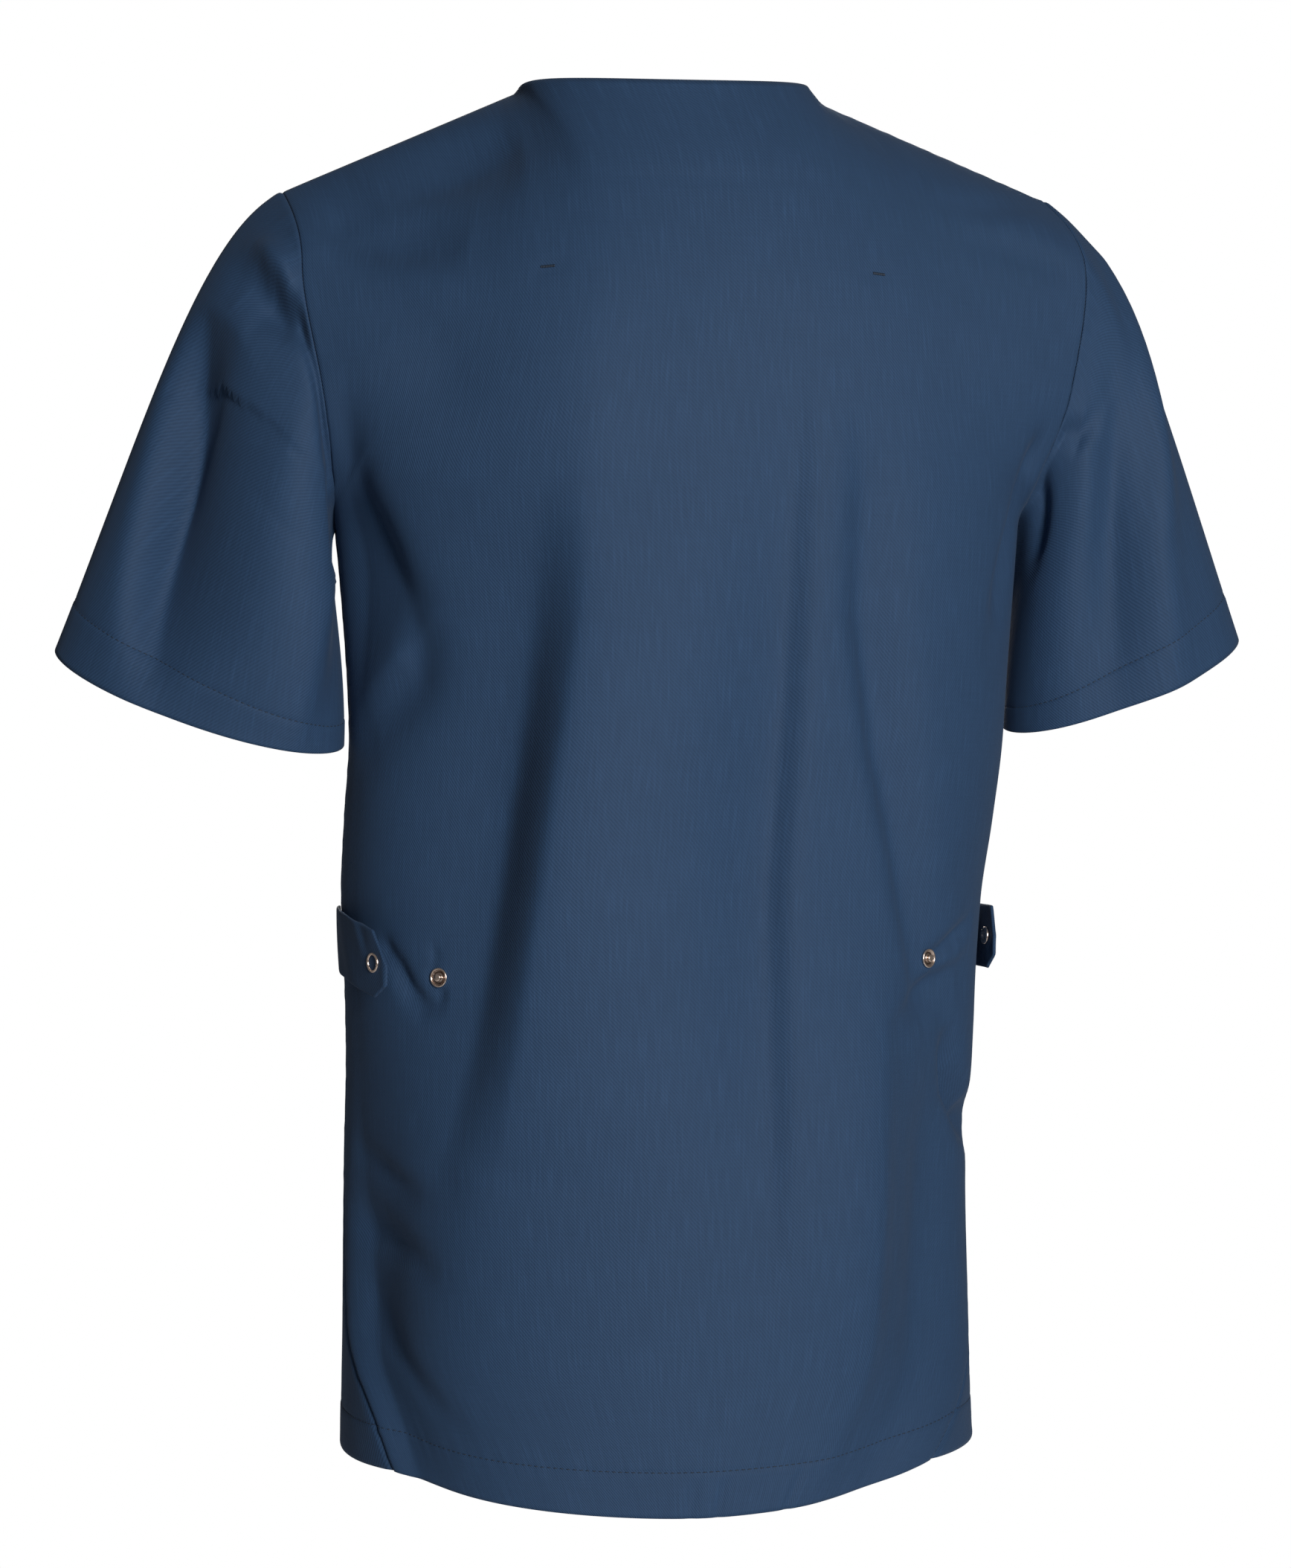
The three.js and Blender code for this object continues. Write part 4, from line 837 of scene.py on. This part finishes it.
def tabPiece(name, form, folds):
    outer, inner, normals, flatX, flatY, length = tabGrid(form, folds)
    rows, columns = flatX.shape
    count = rows * columns
    faces = []
    quad = lambda *corners: faces.append(list(corners) if form["side"] > 0 else list(reversed(corners)))
    for row in range(rows - 1):
        for index in range(columns - 1):
            a, b = row * columns + index, row * columns + index + 1
            c, d = b + columns, a + columns
            quad(a, b, c, d)
            quad(count + d, count + c, count + b, count + a)
    border = ([(0, i) for i in range(columns)] + [(r, columns - 1) for r in range(1, rows)]
              + [(rows - 1, i) for i in range(columns - 2, -1, -1)]
              + [(r, 0) for r in range(rows - 2, 0, -1)])
    for (r, c), (s, d) in zip(border, border[1:] + border[:1]):
        a, b = r * columns + c, s * columns + d
        quad(b, a, count + a, count + b)
    places = np.stack([flatX.ravel(), flatY.ravel()], -1) * mm
    uvs = [places[corner % count] for face in faces for corner in face]
    piece = newMesh(name, np.concatenate([outer.reshape(-1, 3), inner.reshape(-1, 3)]).tolist(), faces, uvs)
    piece.data.materials.append(shadedTabTwill)
    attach(piece, "root")
    return dict(piece=piece, outer=outer, inner=inner, normals=normals, length=length)


tabPieces = {}
for sideName, form in tabs.items():
    tabPieces[sideName] = tabPiece("tab_cloth_" + sideName, form, tabFolds[sideName])
    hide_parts("tab_" + sideName)
print("tabs made")

# Snap parts, turned about their own axis: radius and height of each profile place
ringProfile = [(3.75, 0.05), (3.8, 0.4), (4.0, 0.72), (4.4, 0.92), (4.8, 0.8), (5.08, 0.45), (5.1, 0.05)]
socketProfile = [(4.7, 0.05), (4.85, 0.6), (4.6, 1.2), (4.0, 1.55), (3.3, 1.65), (2.5, 1.6), (2.15, 1.45),
                 (2.1, 0.5), (0.02, 0.5)]
studProfile = [(4.6, 0.02), (4.95, 0.4), (4.95, 0.95), (4.65, 1.3), (4.25, 1.3), (3.95, 0.95), (3.7, 0.4),
               (2.9, 0.12), (2.0, 0.16), (1.6, 0.5), (1.6, 1.2), (1.95, 1.7), (2.0, 2.0), (1.7, 2.35),
               (1.0, 2.6), (0.02, 2.68)]


def turnedPiece(name, profile, seat, direction, prongs=0):
    shape = bmesh.new()
    verts = [shape.verts.new((radius * mm, 0, height * mm)) for radius, height in profile]
    edges = [shape.edges.new(pair) for pair in zip(verts, verts[1:])]
    bmesh.ops.spin(shape, geom=verts + edges, cent=(0, 0, 0), axis=(0, 0, 1), angle=2 * math.pi, steps=56,
                   use_merge=True)
    bmesh.ops.remove_doubles(shape, verts=shape.verts, dist=1e-6)
    if prongs:
        # prongs show through the dish as low bumps
        for vert in shape.verts:
            radius = math.hypot(vert.co.x, vert.co.y) / mm
            turn = math.atan2(vert.co.y, vert.co.x)
            dish = math.exp(-((radius - 3.2) / 0.7) ** 2)
            vert.co.z += 0.22 * mm * dish * max(0, math.cos(prongs * turn)) ** 2
    bmesh.ops.recalc_face_normals(shape, faces=shape.faces)
    radii = np.array([math.hypot(vert.co.x, vert.co.y) for vert in shape.verts]) / mm
    # where the stud's dish gets painted shade in the metal material
    dishShadeMask = np.exp(-((radii - 2.9) / 0.85) ** 2) if prongs else radii * 0
    turn = Vector((0, 0, 1)).rotation_difference(Vector(direction)).to_matrix()
    for vert in shape.verts:
        vert.co = turn @ vert.co + Vector(seat)
    mesh = bpy.data.meshes.new(name)
    shape.to_mesh(mesh)
    shape.free()
    dish = mesh.attributes.new("dish", "FLOAT", "POINT")
    dish.data.foreach_set("value", dishShadeMask.astype(np.float32))
    piece = bpy.data.objects.new(name, mesh)
    bpy.context.scene.collection.objects.link(piece)
    for face in mesh.polygons:
        face.use_smooth = True
    piece.data.materials.append(metalMaterial)
    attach(piece, "root")
    return piece


backNormals = gridNormals(backGrid)
for sideName, form in tabs.items():
    parts = tabPieces[sideName]
    columns = parts["outer"].shape[1]
    spot = tabPoints(form, np.array([1 - tab["snapInset"] / parts["length"]]), np.array([0.5]))[0] * mm
    gaps = np.linalg.norm(parts["outer"] - spot, axis=2)
    row, index = np.unravel_index(np.argmin(gaps), gaps.shape)
    normal = parts["normals"][row, index]
    seat = parts["outer"][row, index] + normal * 0.1 * mm
    cap = turnedPiece("ring_cap_piece_" + sideName, ringProfile, seat, normal)
    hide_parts("ring_cap_" + sideName)
    seat = parts["inner"][row, index] - normal * 0.1 * mm
    socket = turnedPiece("socket_piece_" + sideName, socketProfile, seat, -normal)
    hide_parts("socket_" + sideName)
    form = studs[sideName]
    gaps = np.linalg.norm(backGrid - bodyPoint(form["side"] * form["angle"], form["height"]) * mm, axis=2)
    row, index = np.unravel_index(np.argmin(gaps), gaps.shape)
    normal = backNormals[row, index]
    seat = backGrid[row, index] + normal * 0.1 * mm
    stud = turnedPiece("stud_piece_" + sideName, studProfile, seat, normal, prongs=5)
    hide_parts("stud_" + sideName)
    inside = backGrid[row, index] - normal * (cloth["thickness"] + 0.1) * mm
    backRing = turnedPiece("stud_ring_piece_" + sideName, ringProfile, inside, -normal)
    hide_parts("stud_ring_" + sideName)
print("snaps made")

# Stage, lights and camera
floorCorners = [(-1.4, -1.4, -1.4), (1.4, -1.4, -1.4), (1.4, 1.4, -1.4), (-1.4, 1.4, -1.4)]
floorPlane = newMesh("floor", floorCorners, [(0, 1, 2, 3)])
floorPlane.data.materials.append(plainMaterial("pale floor", (0.82, 0.82, 0.82), 0.8, 0, 0.05, 3))

viewAngle = math.radians(9)
towards = Vector((-math.sin(viewAngle), -math.cos(viewAngle), 0))
rightward = Vector((-math.cos(viewAngle), math.sin(viewAngle), 0))


def lamp(name, right, near, up, size, power, colour, target=(0, 0, -0.36)):
    data = bpy.data.lights.new(name, "AREA")
    data.shape = "RECTANGLE"
    data.size, data.size_y = size
    data.energy = power
    data.color = colour
    item = bpy.data.objects.new(name, data)
    item.location = rightward * right - towards * near + Vector((0, 0, up))
    item.rotation_euler = (Vector(target) - item.location).to_track_quat("-Z", "Y").to_euler()
    bpy.context.scene.collection.objects.link(item)
    return item


lamp("key", 0.95, 2.42, 0.08, (0.6, 0.9), 50, (1, 0.985, 0.96))
lamp("front fill", 0, -2.5, 0.3, (1.4, 1.4), 30, (1, 0.99, 0.97))

world = bpy.data.worlds.new("studio")
bpy.context.scene.world = world
world.use_nodes = True
worldNodes, worldLinks = world.node_tree.nodes, world.node_tree.links
soft = worldNodes["Background"]
soft.inputs["Color"].default_value = (0.93, 0.96, 1, 1)
soft.inputs["Strength"].default_value = 0.055
bright = worldNodes.new("ShaderNodeBackground")
bright.inputs["Color"].default_value = (1, 0.97, 0.94, 1)
bright.inputs["Strength"].default_value = 0.13
white = worldNodes.new("ShaderNodeBackground")
white.inputs["Color"].default_value = (1, 1, 1, 1)
white.inputs["Strength"].default_value = 1.0
path = worldNodes.new("ShaderNodeLightPath")
gloss = worldNodes.new("ShaderNodeMixShader")
worldLinks.new(path.outputs["Is Glossy Ray"], gloss.inputs["Fac"])
worldLinks.new(soft.outputs["Background"], gloss.inputs[1])
worldLinks.new(bright.outputs["Background"], gloss.inputs[2])
blend = worldNodes.new("ShaderNodeMixShader")
worldLinks.new(path.outputs["Is Camera Ray"], blend.inputs["Fac"])
worldLinks.new(gloss.outputs["Shader"], blend.inputs[1])
worldLinks.new(white.outputs["Background"], blend.inputs[2])
worldLinks.new(blend.outputs["Shader"], worldNodes["World Output"].inputs["Surface"])
bpy.context.scene.view_settings.view_transform = "Standard"

cameraData = bpy.data.cameras.new("camera")
cameraData.sensor_width = 36
cameraData.lens = 61.48
camera = bpy.data.objects.new("camera", cameraData)
camera.location = -towards * 1.44 - rightward * 0.0084 + Vector((0, 0, -0.371))
camera.rotation_euler = towards.to_track_quat("-Z", "Y").to_euler()
bpy.context.scene.collection.objects.link(camera)
bpy.context.scene.camera = camera

print("scene made")
